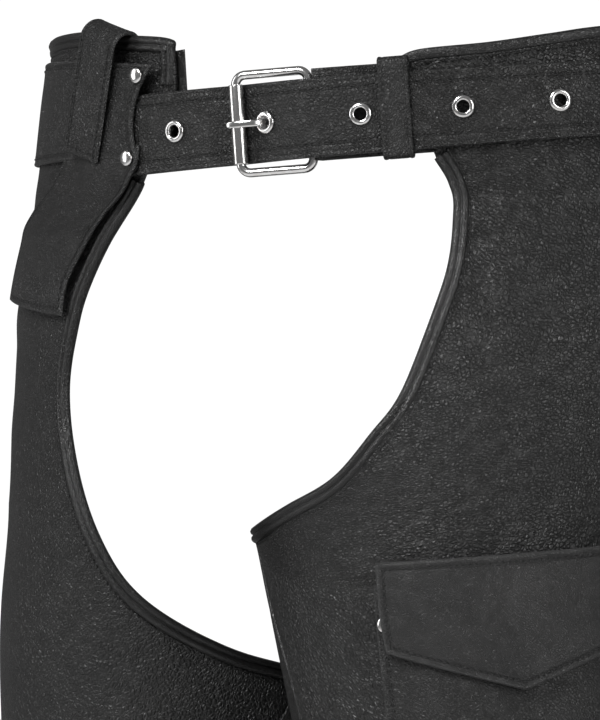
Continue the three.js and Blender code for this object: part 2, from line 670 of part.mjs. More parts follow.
// The keeper: a flat leather ring round the billet and the strap.
function addKeeper() {
  const outer = strapOffset(KEEPER_ANGLE);
  const width = 15.5;
  const thickness = 1.8;
  const [inside, outside] = [outer - STRAP_THICKNESS - 0.7, outer + 0.7];
  const [low, high] = [-21.9, 25.7];
  const ring = new THREE.Shape();
  ring.moveTo(low - thickness, inside - thickness);
  ring.lineTo(high + thickness, inside - thickness);
  ring.lineTo(high + thickness, outside);
  ring.lineTo(high, outside + thickness);
  ring.lineTo(low, outside + thickness);
  ring.lineTo(low - thickness, outside);
  ring.closePath();
  const hole = new THREE.Path();
  hole.moveTo(low, inside);
  hole.lineTo(low, outside);
  hole.lineTo(high, outside);
  hole.lineTo(high, inside);
  hole.closePath();
  ring.holes.push(hole);
  const geometry = new THREE.ExtrudeGeometry(ring, { depth: width, bevelEnabled: false });
  geometry.translate(0, 0, -width / 2);
  const normal = waistNormal(KEEPER_ANGLE);
  const along = new THREE.Vector3(0, 0, 1).cross(normal);
  const frame = new THREE.Matrix4().makeBasis(new THREE.Vector3(0, 0, 1), normal, along.negate());
  addPiece("strap_keeper", geometry, "leather", frame.setPosition(waistPoint(KEEPER_ANGLE, 0)));
}

const BAND_THICKNESS = 2.4;
const RIVET_RADIUS = 4;
const BAND_FRONT_OUTER = 7.2;
// The band's outer face over the panels: it stands proud at the strap's root and settles behind it.
function bandOuter(angle) {
  const settled = THREE.MathUtils.smoothstep(Math.abs(angle), 39, 47);
  return lerp(BAND_FRONT_OUTER, GAP + BAND_THICKNESS, settled);
}

const PATCH_OFFSET = 6.2;
// The hip patch's rows: [share down it, front angle, rear angle, front height, rear height, how far it
// stands out with the band above it, from 1 to 0].
const PATCH_ROWS = [
  [0, 28.2, 52, -13.2, -9.8, 1],
  [0.1, 30, 55, -21, -17, 1],
  [0.2, 32.4, 58, -29.5, -24.5, 0.5],
  [0.35, 36.2, 62, -39, -32, 0],
  [0.55, 38.2, 70, -50, -44, 0],
  [0.78, 38.9, 71, -68, -60, 0],
  [1, 36, 66, -89, -78, 0],
];

// The right hip band covers the strap's root, and two rivets hold its bowed front edge.
function addRightHip() {
  const front = (v) => lerp(23.6, 28, v) + 11.6 * v * (1 - v);
  const top = (a) => smoothAt([[23.6, 35], [52, 43.5], [70, 45], [94, 41]], a)[0];
  const bottom = (a) => smoothAt([[28, -12.6], [50, -8.7], [94, -8]], a)[0];
  const band = plate(18, 4, (u, v, face) => {
    const angle = lerp(front(v), 94, u);
    const outer = bandOuter(angle) - (face ? 0 : BAND_THICKNESS);
    return waistPoint(-angle, lerp(top(angle), bottom(angle), v), outer);
  });
  addPiece("right_hip_band", band, "leather");
  for (const [label, angle, z] of [["upper", 27.3, 30.2], ["lower", 30.4, -11.2]]) {
    const seat = standing(waistPoint(-angle, z, bandOuter(angle) + 0.3), waistNormal(-angle));
    addPiece(`strap_rivet_${label}`, rivet(RIVET_RADIUS, 2), "metal", seat);
  }
  addPiece("right_hip_loop", hipLoop(8.2), "leather", loopFrame(-43.2, -34.8, 58));
  // The hip patch closes the front corner under the band.
  const patch = plate(6, 8, (u, v, face) => {
    const [start, end, z0, z1, proud] = smoothAt(PATCH_ROWS, v);
    const angle = lerp(start, end, u);
    const outer = lerp(PATCH_OFFSET, bandOuter(angle), proud);
    return legPoint(RIGHT, angle, lerp(z0, z1, u), outer - (face ? 0 : BAND_THICKNESS));
  });
  addPiece("right_hip_patch", patch, "leather");
}

// A hip loop hooks over the waist's top edge: an outer run, a bend and a short inner tail.
function hipLoop(offset) {
  const thickness = 2.2;
  const width = 28;
  const foot = -31;
  const top = 39;
  const inner = -7;
  const tail = 14; // height that the tail ends at
  const chamfer = 4;
  const bend = chamfer + 0.6; // the same, on the bend's inside
  const outer = offset + thickness;
  const shape = new THREE.Shape();
  shape.moveTo(foot, offset);
  shape.lineTo(foot, outer);
  shape.lineTo(top - chamfer, outer);
  shape.lineTo(top, outer - chamfer);
  shape.lineTo(top, inner + 2);
  shape.lineTo(top - chamfer, inner - thickness);
  shape.lineTo(tail, inner - thickness);
  shape.lineTo(tail, inner);
  shape.lineTo(top - bend, inner);
  shape.lineTo(top - thickness, inner + 3);
  shape.lineTo(top - thickness, offset - 3);
  shape.lineTo(top - bend, offset);
  shape.closePath();
  const geometry = new THREE.ExtrudeGeometry(shape, { depth: width, bevelEnabled: false });
  geometry.translate(0, 0, -width / 2);
  return geometry;
}

// The loop's frame on the waist ring, leaning from its foot's angle to its head's angle.
function loopFrame(footAngle, headAngle, headZ) {
  const foot = waistPoint(footAngle, headZ - 74);
  const head = waistPoint(headAngle, headZ);
  const outward = waistNormal((footAngle + headAngle) / 2);
  const across = new THREE.Vector3().crossVectors(head.clone().sub(foot), outward).normalize();
  const up = new THREE.Vector3().crossVectors(outward, across).normalize();
  const middle = waistPoint((footAngle + headAngle) / 2, headZ - 37);
  return new THREE.Matrix4().makeBasis(up, outward, across.negate()).setPosition(middle);
}

function addLeftHip() {
  const band = waistPlate(79, 94, 4, () => 31, () => -9, () => GAP + BAND_THICKNESS, BAND_THICKNESS);
  addPiece("left_hip_band", band, "leather");
  addPiece("left_hip_loop", hipLoop(3.6), "leather", loopFrame(86.5, 86.5, 41));
}

const FACING_THICKNESS = 1.4;
const FACING_LOW = -14;
const LEFT_FACING_OUTER = -7; // it lies inside the billet
const BACK_PANEL_OUTER = 7.5; // it lies over the seat bindings' ends
// Facings line the waist inside the panels, and a sewn panel closes it at the back.
function addWaist() {
  const rightTop = (a) => smoothAt([[19, 41.5], [29, 40], [34, 26], [50, 26], [62, 38], [100, 38]], -a)[0];
  const rightOuter = -LEATHER - FACET_ROOM;
  const right = waistPlate(-19.4, -100, 16, rightTop, () => FACING_LOW, () => rightOuter, FACING_THICKNESS);
  addPiece("right_waist_facing", right, "trim");
  const leftTop = (a) => smoothAt([[21, 24], [36, 27], [61, 32], [77, 32]], a)[0];
  const left = waistPlate(21, 77, 14, leftTop, () => FACING_LOW, () => LEFT_FACING_OUTER, FACING_THICKNESS);
  addPiece("left_waist_facing", left, "trim");
  const back = waistPlate(97, 263, 24, () => 30, () => -8, () => BACK_PANEL_OUTER, LEATHER);
  addPiece("back_waist_panel", back, "leather");
}

// ---- Thigh pocket -------------------------------------------------------------------------
const POCKET_START = -2.2;
const POCKET_END = 75;
const POCKET_TOP = -232;
const POCKET_THICKNESS = 2.2;
const POCKET_RIVET_HEIGHT = -252;
const FLAP_TOP = -221.5;
const FLAP_OFFSET = 5.8;

function addPocket() {
  const low = (a) => smoothAt([[POCKET_START, -392], [6, -400], [66, -400], [POCKET_END, -392]], a)[0];
  const pocket = plate(12, 8, (u, v, face) => {
    const angle = lerp(lerp(POCKET_START - 1.8, POCKET_START - 7.8, v), POCKET_END, u);
    const height = FACET_ROOM + (face ? POCKET_THICKNESS : 0);
    return legPoint(LEFT, angle, lerp(POCKET_TOP, low(angle), v), height);
  });
  addPiece("thigh_pocket", pocket, "leather");
  const point = (a) => smoothAt([[POCKET_START, -266], [33, -288], [POCKET_END, -264]], a)[0];
  const flap = plate(14, 4, (u, v, face) => {
    const angle = lerp(POCKET_START, POCKET_END, u);
    const swell = 1.2 * Math.sin(Math.PI * v);
    return legPoint(LEFT, angle, lerp(FLAP_TOP, point(angle), v), FLAP_OFFSET + swell + (face ? 2 : 0));
  });
  addPiece("pocket_flap", flap, "leather");
  for (const [label, angle] of [["front", POCKET_START + 0.4], ["rear", POCKET_END - 0.6]]) {
    const at = legPoint(LEFT, angle, POCKET_RIVET_HEIGHT, FACET_ROOM + POCKET_THICKNESS + 0.3);
    const outward = legPoint(LEFT, angle, POCKET_RIVET_HEIGHT, 10).sub(at);
    addPiece(`pocket_rivet_${label}`, rivet(RIVET_RADIUS, 1.5), "metal", standing(at, outward));
  }
}

addLeg(RIGHT, "right");
addLeg(LEFT, "left");
addPiece("right_top_binding", edgeStrip(RIGHT, RIGHT_TOP_BINDING, 36, -BINDING_WIDTH), "trim");
addZip(RIGHT, "right");
addZip(LEFT, "left");
addWaist();
addRightHip();
addLeftHip();
addStrap();
addBillet();
addKeeper();
addBuckle();
addPocket();

export default group;
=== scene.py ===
"""Leather riding chaps, buckled as they hang when worn: two open-seated legs on a belted waist."""

import math

import bmesh
import bpy
import numpy as np
from mathutils import Matrix, Vector, noise
from mathutils.bvhtree import BVHTree


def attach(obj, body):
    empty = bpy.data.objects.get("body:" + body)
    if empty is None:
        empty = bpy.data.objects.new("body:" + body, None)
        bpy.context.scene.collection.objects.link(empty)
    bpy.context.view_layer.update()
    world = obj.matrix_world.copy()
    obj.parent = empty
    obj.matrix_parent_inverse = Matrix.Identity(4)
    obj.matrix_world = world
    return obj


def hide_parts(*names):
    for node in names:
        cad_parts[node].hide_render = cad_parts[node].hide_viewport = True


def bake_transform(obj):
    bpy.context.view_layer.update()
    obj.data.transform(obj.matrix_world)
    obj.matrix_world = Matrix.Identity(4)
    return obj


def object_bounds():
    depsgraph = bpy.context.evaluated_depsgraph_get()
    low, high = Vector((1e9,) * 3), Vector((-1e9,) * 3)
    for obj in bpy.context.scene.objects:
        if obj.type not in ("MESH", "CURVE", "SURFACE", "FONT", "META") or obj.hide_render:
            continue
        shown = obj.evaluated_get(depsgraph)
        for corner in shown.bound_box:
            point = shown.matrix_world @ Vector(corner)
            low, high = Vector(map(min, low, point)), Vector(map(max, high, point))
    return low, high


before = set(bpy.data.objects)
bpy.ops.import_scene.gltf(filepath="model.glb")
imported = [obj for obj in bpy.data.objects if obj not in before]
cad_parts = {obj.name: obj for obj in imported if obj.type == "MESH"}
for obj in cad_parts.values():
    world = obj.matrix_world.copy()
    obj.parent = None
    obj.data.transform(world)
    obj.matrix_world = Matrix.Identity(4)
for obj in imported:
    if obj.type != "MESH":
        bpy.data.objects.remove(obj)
cad_low, cad_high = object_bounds()

# ---- Sizes, in millimetres and degrees -----------------------------------------------------
MM = 0.001
LEATHER = 2.4
WAIST_HALF_WIDTH = 175
WAIST_HALF_DEPTH = 112
SEAM_TOP = -300
HEM = -1000
INSEAM = -95
OUTSEAM = 90
BELT_CLEAR = -24.5
STRAP_THICKNESS = 3.4
STRAP_HALF_HEIGHT = 20.5
STRAP_START = -31
STRAP_END = 76
EYELET_ANGLES = [-20.5, -3.2, 13.4, 30.5, 48.5, 67]
ROLLER_ANGLE = -7.8
PIVOT_ANGLE = 4.4
KEEPER_ANGLE = 19.2
WIRE = 4.6
ROLLER_RADIUS = 3.75
TURNING_ROOM = 0.35  # round the wire, inside the roller and the prong's eye
SEWN_INSET = 3.6  # from a piece's edge to its stitching
RIVET_RADIUS = 4
STITCH_SPACING = 3.3

# Each leg's section at a height: [height, centre x, centre y, half width, half depth].
RIGHT = {
    "side": -1,
    "upper": [
        [70, 0, 0, WAIST_HALF_WIDTH, WAIST_HALF_DEPTH],
        [-25, 0, 0, WAIST_HALF_WIDTH, WAIST_HALF_DEPTH],
        [-90, -45, 4, 160, 112],
        [-200, -110, 9, 105, 110],
        [-260, -132, 12, 93, 108],
        [SEAM_TOP, -135, 12, 92, 107],
    ],
    "lower": [[SEAM_TOP, 92, 107], [-560, 78, 86], [-760, 74, 80], [HEM, 78, 84]],
    "outseam": [(-227, 12), (-224, 25)],
    "front_edge": [
        [21, 46.5], [21.6, 14], [29.8, BELT_CLEAR], [34.8, -52], [33.7, -88], [31, -129], [21.1, -170],
        [6.2, -206.5], [-12.5, -236.5], [-39.5, -263.5], [-61, -277], [INSEAM, -292],
    ],
    "seat_edge": [
        [103, 46], [103, -50], [107, -150], [114, -208], [124, -254], [140, -296], [170, -326],
        [205, -335], [240, -325], [360 + INSEAM, -292],
    ],
    "top_edge": [[21, 46.5], [35, 51.8], [47, 56], [67, 56], [90, 51], [103, 46]],
    "seam_break": -430,
}
LEFT = {
    "side": 1,
    "upper": [
        [70, 0, 0, WAIST_HALF_WIDTH, WAIST_HALF_DEPTH],
        [-25, 0, 0, WAIST_HALF_WIDTH, WAIST_HALF_DEPTH],
        [-90, 20, -12, 155, 113],
        [-209, 52, -38, 105, 111],
        [-250, 55, -44, 100, 110],
        [SEAM_TOP, 60, -45, 98, 109],
    ],
    "lower": [[SEAM_TOP, 98, 109], [-560, 80, 88], [-760, 75, 80], [HEM, 78, 84]],
    "outseam": [(158, -45), (166, -70)],
    "front_edge": [
        [20, 27.5], [25.2, BELT_CLEAR], [27.2, -37], [27.2, -52], [23, -86], [11.8, -136], [1.6, -159],
        [-12, -180], [-30, -192], [-50, -201], [-69, -205], [INSEAM, -208],
    ],
    "seat_edge": [
        [103, 36], [103, -50], [108, -110], [116, -150], [130, -182], [152, -204], [180, -214],
        [220, -214], [360 + INSEAM, -208],
    ],
    "top_edge": [[20, 27.5], [24, 30], [36, 31], [48, 33.5], [61, 36], [90, 38], [103, 36]],
    "seam_break": -275,
}


# ---- Curves and forms ----------------------------------------------------------------------
def lerp(a, b, t):
    return a + (b - a) * t


def smoothstep(x, low, high):
    t = np.clip((x - low) / (high - low), 0, 1)
    return t * t * (3 - 2 * t)


def smooth_at(rows, x):
    """A smooth curve through rows of numbers, read at x, that doesn't overshoot between them."""
    rows = np.array(sorted(rows), float)
    at = np.clip(np.asarray(x, float), rows[0, 0], rows[-1, 0])
    i = np.clip(np.searchsorted(rows[:, 0], at) - 1, 0, len(rows) - 2)
    slope = np.diff(rows[:, 1:], axis=0) / np.diff(rows[:, 0])[:, None]
    tangent = np.vstack([slope[:1], slope])
    before, after = slope[:-1], slope[1:]
    total = np.where(before + after == 0, 1, before + after)
    tangent[1:-1] = np.where(before * after > 0, 2 * before * after / total, 0)
    h = (rows[i + 1, 0] - rows[i, 0])[..., None]
    t = (at - rows[i, 0])[..., None] / h
    pull = (t**3 - 2 * t**2 + t) * h * tangent[i] + (t**3 - t**2) * h * tangent[i + 1]
    return lerp(rows[i, 1:], rows[i + 1, 1:], 3 * t**2 - 2 * t**3) + pull


def read(rows, x):
    return smooth_at(rows, x)[..., 0]


def section(leg, z):
    z = np.asarray(z, float)
    high = smooth_at(leg["upper"], z)
    rx, ry = np.moveaxis(smooth_at(leg["lower"], z), -1, 0)
    t = (z - SEAM_TOP) / (HEM - SEAM_TOP)
    (x0, y0), (x1, y1) = leg["outseam"]
    low = np.stack([lerp(x0, x1, t) - leg["side"] * rx, lerp(y0, y1, t), rx, ry], -1)
    return np.moveaxis(np.where((z >= SEAM_TOP)[..., None], high, low), -1, 0)


# How far the right hip stands out sideways at a height.
HIP_FLARE = [
    [-185, 0], [-150, -4], [-125, -6.3], [-105, -5.5], [-90, -2.5], [-70, 2.5], [-50, 8.5], [-31, 12.5],
    [-10, 8], [24, 0.5], [40, -3.5], [70, -9],
]


def hip_flare(sine, z):
    """The hip's swell. Sine is the sine of the angle towards the right hip."""
    return np.maximum(sine, 0) ** 3 * read(HIP_FLARE, z)


def leg_point(leg, angle, z, offset=0.0):
    """A point on a leg's outer surface. The angle is 0 at the front and 90 on the outside."""
    angle, z, offset = np.broadcast_arrays(np.asarray(angle, float), z, offset)
    cx, cy, rx, ry = section(leg, z)
    a = np.radians(angle)
    nx, ny = leg["side"] * np.sin(a) / rx, -np.cos(a) / ry
    size = np.hypot(nx, ny)
    flare = hip_flare(np.sin(a), z) if leg is RIGHT else 0
    x = cx + leg["side"] * (rx * np.sin(a) + flare) + offset * nx / size
    y = cy - ry * np.cos(a) + offset * ny / size
    return np.stack([x, y, z], -1)


def waist_point(angle, z, offset=0.0):
    angle, z, offset = np.broadcast_arrays(np.asarray(angle, float), z, offset)
    n = waist_normal(angle)
    a = np.radians(angle)
    x = WAIST_HALF_WIDTH * np.sin(a) - hip_flare(-np.sin(a), z) + offset * n[..., 0]
    y = -WAIST_HALF_DEPTH * np.cos(a) + offset * n[..., 1]
    return np.stack([x, y, z], -1)


def waist_normal(angle):
    a = np.radians(angle)
    n = np.stack([np.sin(a) / WAIST_HALF_WIDTH, -np.cos(a) / WAIST_HALF_DEPTH, 0 * a], -1)
    return n / np.linalg.norm(n, axis=-1, keepdims=True)


def spline(points, t):
    """A curve through [angle, height] points, read from 0 to 1."""
    points = np.array(points, float)
    last = len(points) - 1
    p = np.clip(np.asarray(t, float), 0, 1) * last
    i = np.minimum(np.floor(p).astype(int), last)
    w = (p - i)[..., None]
    before, here = points[np.maximum(i - 1, 0)], points[i]
    after, later = points[np.minimum(i + 1, last)], points[np.minimum(i + 2, last)]
    a, b = (after - before) / 2, (later - here) / 2
    return (2 * here - 2 * after + a + b) * w**3 + (3 * after - 3 * here - 2 * a - b) * w**2 + a * w + here


def unit(v):
    return v / np.maximum(np.linalg.norm(v, axis=-1, keepdims=True), 1e-9)


def run_length(points, axis=0):
    """How far along a row of points each one lies."""
    steps = np.linalg.norm(np.diff(points, axis=axis), axis=-1)
    pad = [(1, 0) if n == axis else (0, 0) for n in range(steps.ndim)]
    return np.pad(np.cumsum(steps, axis=axis), pad)


def evenly(points, step):
    """The same path with points that far apart."""
    s = run_length(points)
    at = np.linspace(0, s[-1], max(3, int(s[-1] / step) + 1))
    return np.stack([np.interp(at, s, points[:, k]) for k in range(3)], -1)


# ---- Mesh making ---------------------------------------------------------------------------
def mesh_object(name, points, faces, uv=None, edge=None, smooth=True):
    """An object from points in millimetres, with its faces turned outwards."""
    points = np.asarray(points, float).reshape(-1, 3) * MM
    corners = np.array([c for f in faces for c in f], np.int32)
    sizes = np.array([len(f) for f in faces], np.int32)
    starts = np.concatenate([[0], np.cumsum(sizes)[:-1]]).astype(np.int32)
    mesh = bpy.data.meshes.new(name)
    mesh.vertices.add(len(points))
    mesh.vertices.foreach_set("co", points.astype(np.float32).ravel())
    mesh.loops.add(len(corners))
    mesh.loops.foreach_set("vertex_index", corners)
    mesh.polygons.add(len(sizes))
    mesh.polygons.foreach_set("loop_start", starts)
    mesh.update(calc_edges=True)
    for title, values in (("Surface", uv), ("Edge", edge)):
        if values is not None:
            layer = mesh.uv_layers.new(name=title)
            flat = np.asarray(values, float).reshape(-1, 2)[corners] * MM
            layer.data.foreach_set("uv", flat.astype(np.float32).ravel())
    mesh.validate()
    if signed_volume(mesh) < 0:
        mesh.flip_normals()
    mesh.polygons.foreach_set("use_smooth", [smooth] * len(mesh.polygons))
    return placed(name, mesh)


def placed(name, data):
    """A new object in the scene."""
    piece = bpy.data.objects.new(name, data)
    bpy.context.scene.collection.objects.link(piece)
    return piece


def signed_volume(mesh):
    mesh.calc_loop_triangles()
    v = np.array([p.co for p in mesh.vertices], float)
    t = np.array([p.vertices for p in mesh.loop_triangles], int)
    return float(np.einsum("ij,ij->i", v[t[:, 0]], np.cross(v[t[:, 1]], v[t[:, 2]])).sum())


def grid_faces(rows, cols, start=0):
    i = np.arange(rows - 1)[:, None] * cols + np.arange(cols - 1)[None, :] + start
    return np.stack([i, i + cols, i + cols + 1, i + 1], -1).reshape(-1, 4)


def leaf(name, outer, inner, edge=None):
    """A closed leaf of leather between two grids of points. The grain map is in real distances."""
    rows, cols = outer.shape[:2]
    half = rows * cols
    faces = [grid_faces(rows, cols), grid_faces(rows, cols, half)[:, ::-1]]
    rim = np.concatenate([
        np.arange(cols - 1), np.arange(rows - 1) * cols + cols - 1,
        (rows - 1) * cols + np.arange(cols - 1, 0, -1), np.arange(rows - 1, 0, -1) * cols,
    ])
    ahead = np.roll(rim, -1)
    faces.append(np.stack([rim, ahead, ahead + half, rim + half], -1))
    along = run_length(outer, 1)
    along = along - along[:, cols // 2][:, None]
    down = run_length(outer[:, cols // 2])
    uv = np.stack([along, np.broadcast_to(-down[:, None], along.shape)], -1)
    uv = np.concatenate([uv.reshape(-1, 2)] * 2)
    if edge is not None:
        edge = np.concatenate([edge.reshape(-1, 2)] * 2)
    return mesh_object(name, np.concatenate([outer.reshape(-1, 3), inner.reshape(-1, 3)]),
                       np.concatenate(faces).tolist(), uv, edge)


def edge_map(points, sides):
    """For each point of a grid: its distance from the nearest stitched side, and its place along it."""
    along, down = run_length(points, 1), run_length(points, 0)
    choices = {
        "left": (along, down), "right": (along[:, -1:] - along, down + 700),
        "top": (down, along + 1500), "bottom": (down[-1:] - down, along + 2300),
    }
    far = np.full(points.shape[:2], 400.0)
    best = np.stack([far, far], -1)
    for side in sides:
        distance, place = choices[side]
        nearer = distance < best[..., 0]
        best[nearer] = np.stack([distance, place], -1)[nearer]
    return best


def spread(count, length, fine=(0, 0.25, 0.7, 1.3, 2, 2.6, 3.4, 4.6, 6, 7.5, 9.5), ends=(True, True)):
    """Shares from 0 to 1 across a piece of this length, close together at its rolled edges."""
    low = np.array(fine if ends[0] else [0]) / length
    high = 1 - np.array(fine if ends[1] else [0])[::-1] / length
    middle = np.linspace(low[-1], high[0], count + 2)[1:-1]
    return np.concatenate([low, middle, high])


ROLLED = [[0, -1.1], [0.25, -0.45], [0.7, 0.05], [1.3, 0.25], [2, 0.1], [2.6, -0.15], [3.4, 0.05],
          [4.6, 0.1], [6, 0], [400, 0]]


def rolled_leaf(name, place, us, vs, thickness, sides, roll=ROLLED, lift=None):
    """A leaf whose sides are turned edges: rounded over, with a ridge and then the seam's dip."""
    u, v = np.meshgrid(us, vs)
    base = place(u, v, 0.0)
    out = unit(place(u, v, 1.0) - base)
    edges = edge_map(base, ["left", "right", "top", "bottom"])[..., 0]
    stitched = edge_map(base, sides)
    rise = np.interp(edges, *np.array(roll).T)
    under = np.interp(edges, [0, 0.5, thickness / 2], [thickness / 2, 0.25, 0])
    if lift is not None:
        rise = rise + lift(u, v) * smoothstep(edges, 2, 14)
    outer = base + out * rise[..., None]
    inner = base - out * (thickness - under)[..., None]
    clear = np.einsum("ijk,ijk->ij", outer - inner, out)
    outer = outer + out * np.maximum(0.08 - clear, 0)[..., None]
    return leaf(name, outer, inner, stitched)


def tube_faces(rows, cols, closed=False):
    """Faces round a run of rings, capped at both ends unless the run closes on itself."""
    faces = []
    for j in range(rows if closed else rows - 1):
        k = (j + 1) % rows
        for i in range(cols):
            m = (i + 1) % cols
            faces.append((j * cols + i, k * cols + i, k * cols + m, j * cols + m))
    if not closed:
        faces += [tuple(range(cols)), tuple(range((rows - 1) * cols, rows * cols))[::-1]]
    return faces


def sweep(name, path, inward, outward, profile, closed=False):
    """A closed profile of (inward, outward) points carried along a path."""
    profile = np.array(profile, float)
    points = path[:, None] + profile[None, :, :1] * inward[:, None] + profile[None, :, 1:] * outward[:, None]
    s = run_length(path)
    round_it = run_length(profile)
    uv = np.stack(np.broadcast_arrays(round_it[None, :], s[:, None]), -1)
    edge = np.stack(np.broadcast_arrays(profile[None, :, 0] + 400, s[:, None]), -1)
    return mesh_object(name, points, tube_faces(*points.shape[:2], closed), uv, edge)


def turned(name, profile, segments=40):
    """A shape turned round the z axis. A profile point on the axis closes a pole."""
    profile = np.array(profile, float)
    a = np.linspace(0, 2 * math.pi, segments, endpoint=False)
    points, ring = [], []
    for r, z in profile:
        if r == 0:
            ring.append([len(points)] * segments)
            points.append((0, 0, z))
        else:
            ring.append(list(range(len(points), len(points) + segments)))
            points += [(r * math.cos(t), r * math.sin(t), z) for t in a]
    faces = []
    loops = list(zip(ring, ring[1:])) + ([] if profile[0][0] == 0 else [(ring[-1], ring[0])])
    for low, high in loops:
        for k in range(segments):
            m = (k + 1) % segments
            corners = dict.fromkeys([low[k], low[m], high[m], high[k]])
            faces.append(tuple(corners))
    return mesh_object(name, points, faces)


def move(piece, rows):
    """Puts a piece in place by moving its mesh. The rows are a 4x4 matrix in millimetres."""
    matrix = Matrix(rows)
    matrix.translation *= MM
    piece.data.transform(matrix)
    return piece


def settled(piece):
    """The piece with its modifiers made part of its mesh."""
    graph = bpy.context.evaluated_depsgraph_get()
    mesh = bpy.data.meshes.new_from_object(piece.evaluated_get(graph))
    piece.modifiers.clear()
    old, piece.data = piece.data, mesh
    bpy.data.meshes.remove(old)
    return piece


def cad_copy(node, name, bevel, segments=3):
    """A finished copy of a hard CAD node: merged, with its edges rounded."""
    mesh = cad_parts[node].data.copy()
    form = bmesh.new()
    form.from_mesh(mesh)
    bmesh.ops.remove_doubles(form, verts=form.verts, dist=1e-5)
    bmesh.ops.dissolve_limit(form, angle_limit=0.02, verts=form.verts, edges=form.edges)
    form.to_mesh(mesh)
    form.free()
    mesh.materials.clear()
    piece = placed(name, mesh)
    rounding = piece.modifiers.new("Bevel", "BEVEL")
    rounding.width = bevel * MM
    rounding.segments = segments
    rounding.limit_method = "ANGLE"
    rounding.angle_limit = math.radians(35)
    settled(piece)
    piece.data.polygons.foreach_set("use_smooth", [True] * len(piece.data.polygons))
    piece.data.set_sharp_from_angle(angle=math.radians(50))
    return piece


def finish(piece, material, body="garment", nodes=()):
    piece.data.materials.clear()
    piece.data.materials.append(material)
    if body:
        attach(piece, body)
    if nodes:
        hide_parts(*nodes)
    return piece


# ---- Shader parts --------------------------------------------------------------------------
def put(tree, kind, links=None, **settings):
    made = tree.nodes.new(kind)
    for key, value in settings.items():
        setattr(made, key, value)
    for key, value in (links or {}).items():
        socket = made.inputs[key]
        if isinstance(value, bpy.types.NodeSocket):
            tree.links.new(value, socket)
        else:
            socket.default_value = value
    return made


def math_node(tree, operation, a, b=0.0, c=0.0, clamp=False):
    return put(tree, "ShaderNodeMath", {0: a, 1: b, 2: c}, operation=operation, use_clamp=clamp).outputs[0]


def ramp(tree, value, low, high, to_low=0.0, to_high=1.0):
    links = {"Value": value, "From Min": low, "From Max": high, "To Min": to_low, "To Max": to_high}
    return put(tree, "ShaderNodeMapRange", links, interpolation_type="SMOOTHSTEP").outputs[0]


def group_tree(name, inputs, outputs, kind="ShaderNodeTree"):
    """A node tree with its named inputs and outputs. An input is (name, socket kind, default)."""
    tree = bpy.data.node_groups.new(name, kind)
    for label, socket_kind, default in inputs:
        socket = tree.interface.new_socket(name=label, in_out="INPUT", socket_type="NodeSocket" + socket_kind)
        if default is not None:
            socket.default_value = default
    for label, socket_kind in outputs:
        tree.interface.new_socket(name=label, in_out="OUTPUT", socket_type="NodeSocket" + socket_kind)
    return tree, tree.nodes.new("NodeGroupInput"), tree.nodes.new("NodeGroupOutput")


def give(tree, result, values):
    for label, value in values.items():
        tree.links.new(value, result.inputs[label])
    return tree


def leather_grain_group():
    """Pebbled hide: cells with pores between them, fine skin, and slow changes of tone."""
    tree, given, result = group_tree(
        "Leather grain",
        [("Vector", "Vector", None), ("Cell", "Float", 0.0015), ("Stretch", "Float", 1.4),
         ("Turn", "Float", 0.6)],
        [(label, "Float") for label in ("Height", "Pores", "Mottle", "Creases")],
    )
    vector, cell = given.outputs["Vector"], given.outputs["Cell"]
    per_cell = math_node(tree, "DIVIDE", 1.0, cell)
    drift = put(tree, "ShaderNodeTexNoise", {"Vector": vector, "Scale": 140.0, "Detail": 2.0})
    centred = put(tree, "ShaderNodeVectorMath", {0: drift.outputs["Color"], 1: (0.5, 0.5, 0.5)},
                  operation="SUBTRACT")
    shift = put(tree, "ShaderNodeVectorMath", {0: centred.outputs[0], "Scale": 0.0035}, operation="SCALE")
    moved = put(tree, "ShaderNodeVectorMath", {0: vector, 1: shift.outputs[0]}, operation="ADD")
    wide = math_node(tree, "DIVIDE", per_cell, given.outputs["Stretch"])
    scale = put(tree, "ShaderNodeCombineXYZ", {0: wide, 1: per_cell, 2: per_cell})
    turn = put(tree, "ShaderNodeCombineXYZ", {2: given.outputs["Turn"]})
    turned_vector = put(tree, "ShaderNodeMapping",
                        {"Vector": moved.outputs[0], "Rotation": turn.outputs[0]})
    mapped = put(tree, "ShaderNodeVectorMath", {0: turned_vector.outputs[0], 1: scale.outputs[0]},
                 operation="MULTIPLY").outputs[0]
    gap = put(tree, "ShaderNodeTexVoronoi", {"Vector": mapped, "Scale": 1.0, "Randomness": 0.95},
              feature="DISTANCE_TO_EDGE")
    dome = put(tree, "ShaderNodeTexVoronoi", {"Vector": mapped, "Scale": 1.0, "Randomness": 0.95})
    skin = put(tree, "ShaderNodeTexNoise", {"Vector": mapped, "Scale": 2.6, "Detail": 4.0})
    broad = put(tree, "ShaderNodeTexNoise", {"Vector": vector, "Scale": 21.0, "Detail": 3.0})
    patchy = put(tree, "ShaderNodeTexNoise", {"Vector": vector, "Scale": 90.0, "Detail": 2.0})
    depth = ramp(tree, patchy.outputs[0], 0.3, 0.7, 0.45, 1.0)
    rounded = ramp(tree, gap.outputs["Distance"], 0.0, 0.22)
    crown = math_node(tree, "MULTIPLY", dome.outputs["Distance"], -0.45)
    raised = math_node(tree, "ADD", rounded, crown)
    deep = math_node(tree, "MULTIPLY", raised, depth)
    height = math_node(tree, "MULTIPLY_ADD", skin.outputs[0], 0.5, deep)
    pores = ramp(tree, gap.outputs["Distance"], 0.12, 0.0)
    slow = put(tree, "ShaderNodeTexNoise", {"Vector": vector, "Scale": 34.0, "Detail": 4.0,
                                            "Roughness": 0.6, "Distortion": 0.4})
    return give(tree, result, {"Height": height, "Pores": pores, "Mottle": broad.outputs[0],
                               "Creases": slow.outputs[0]})


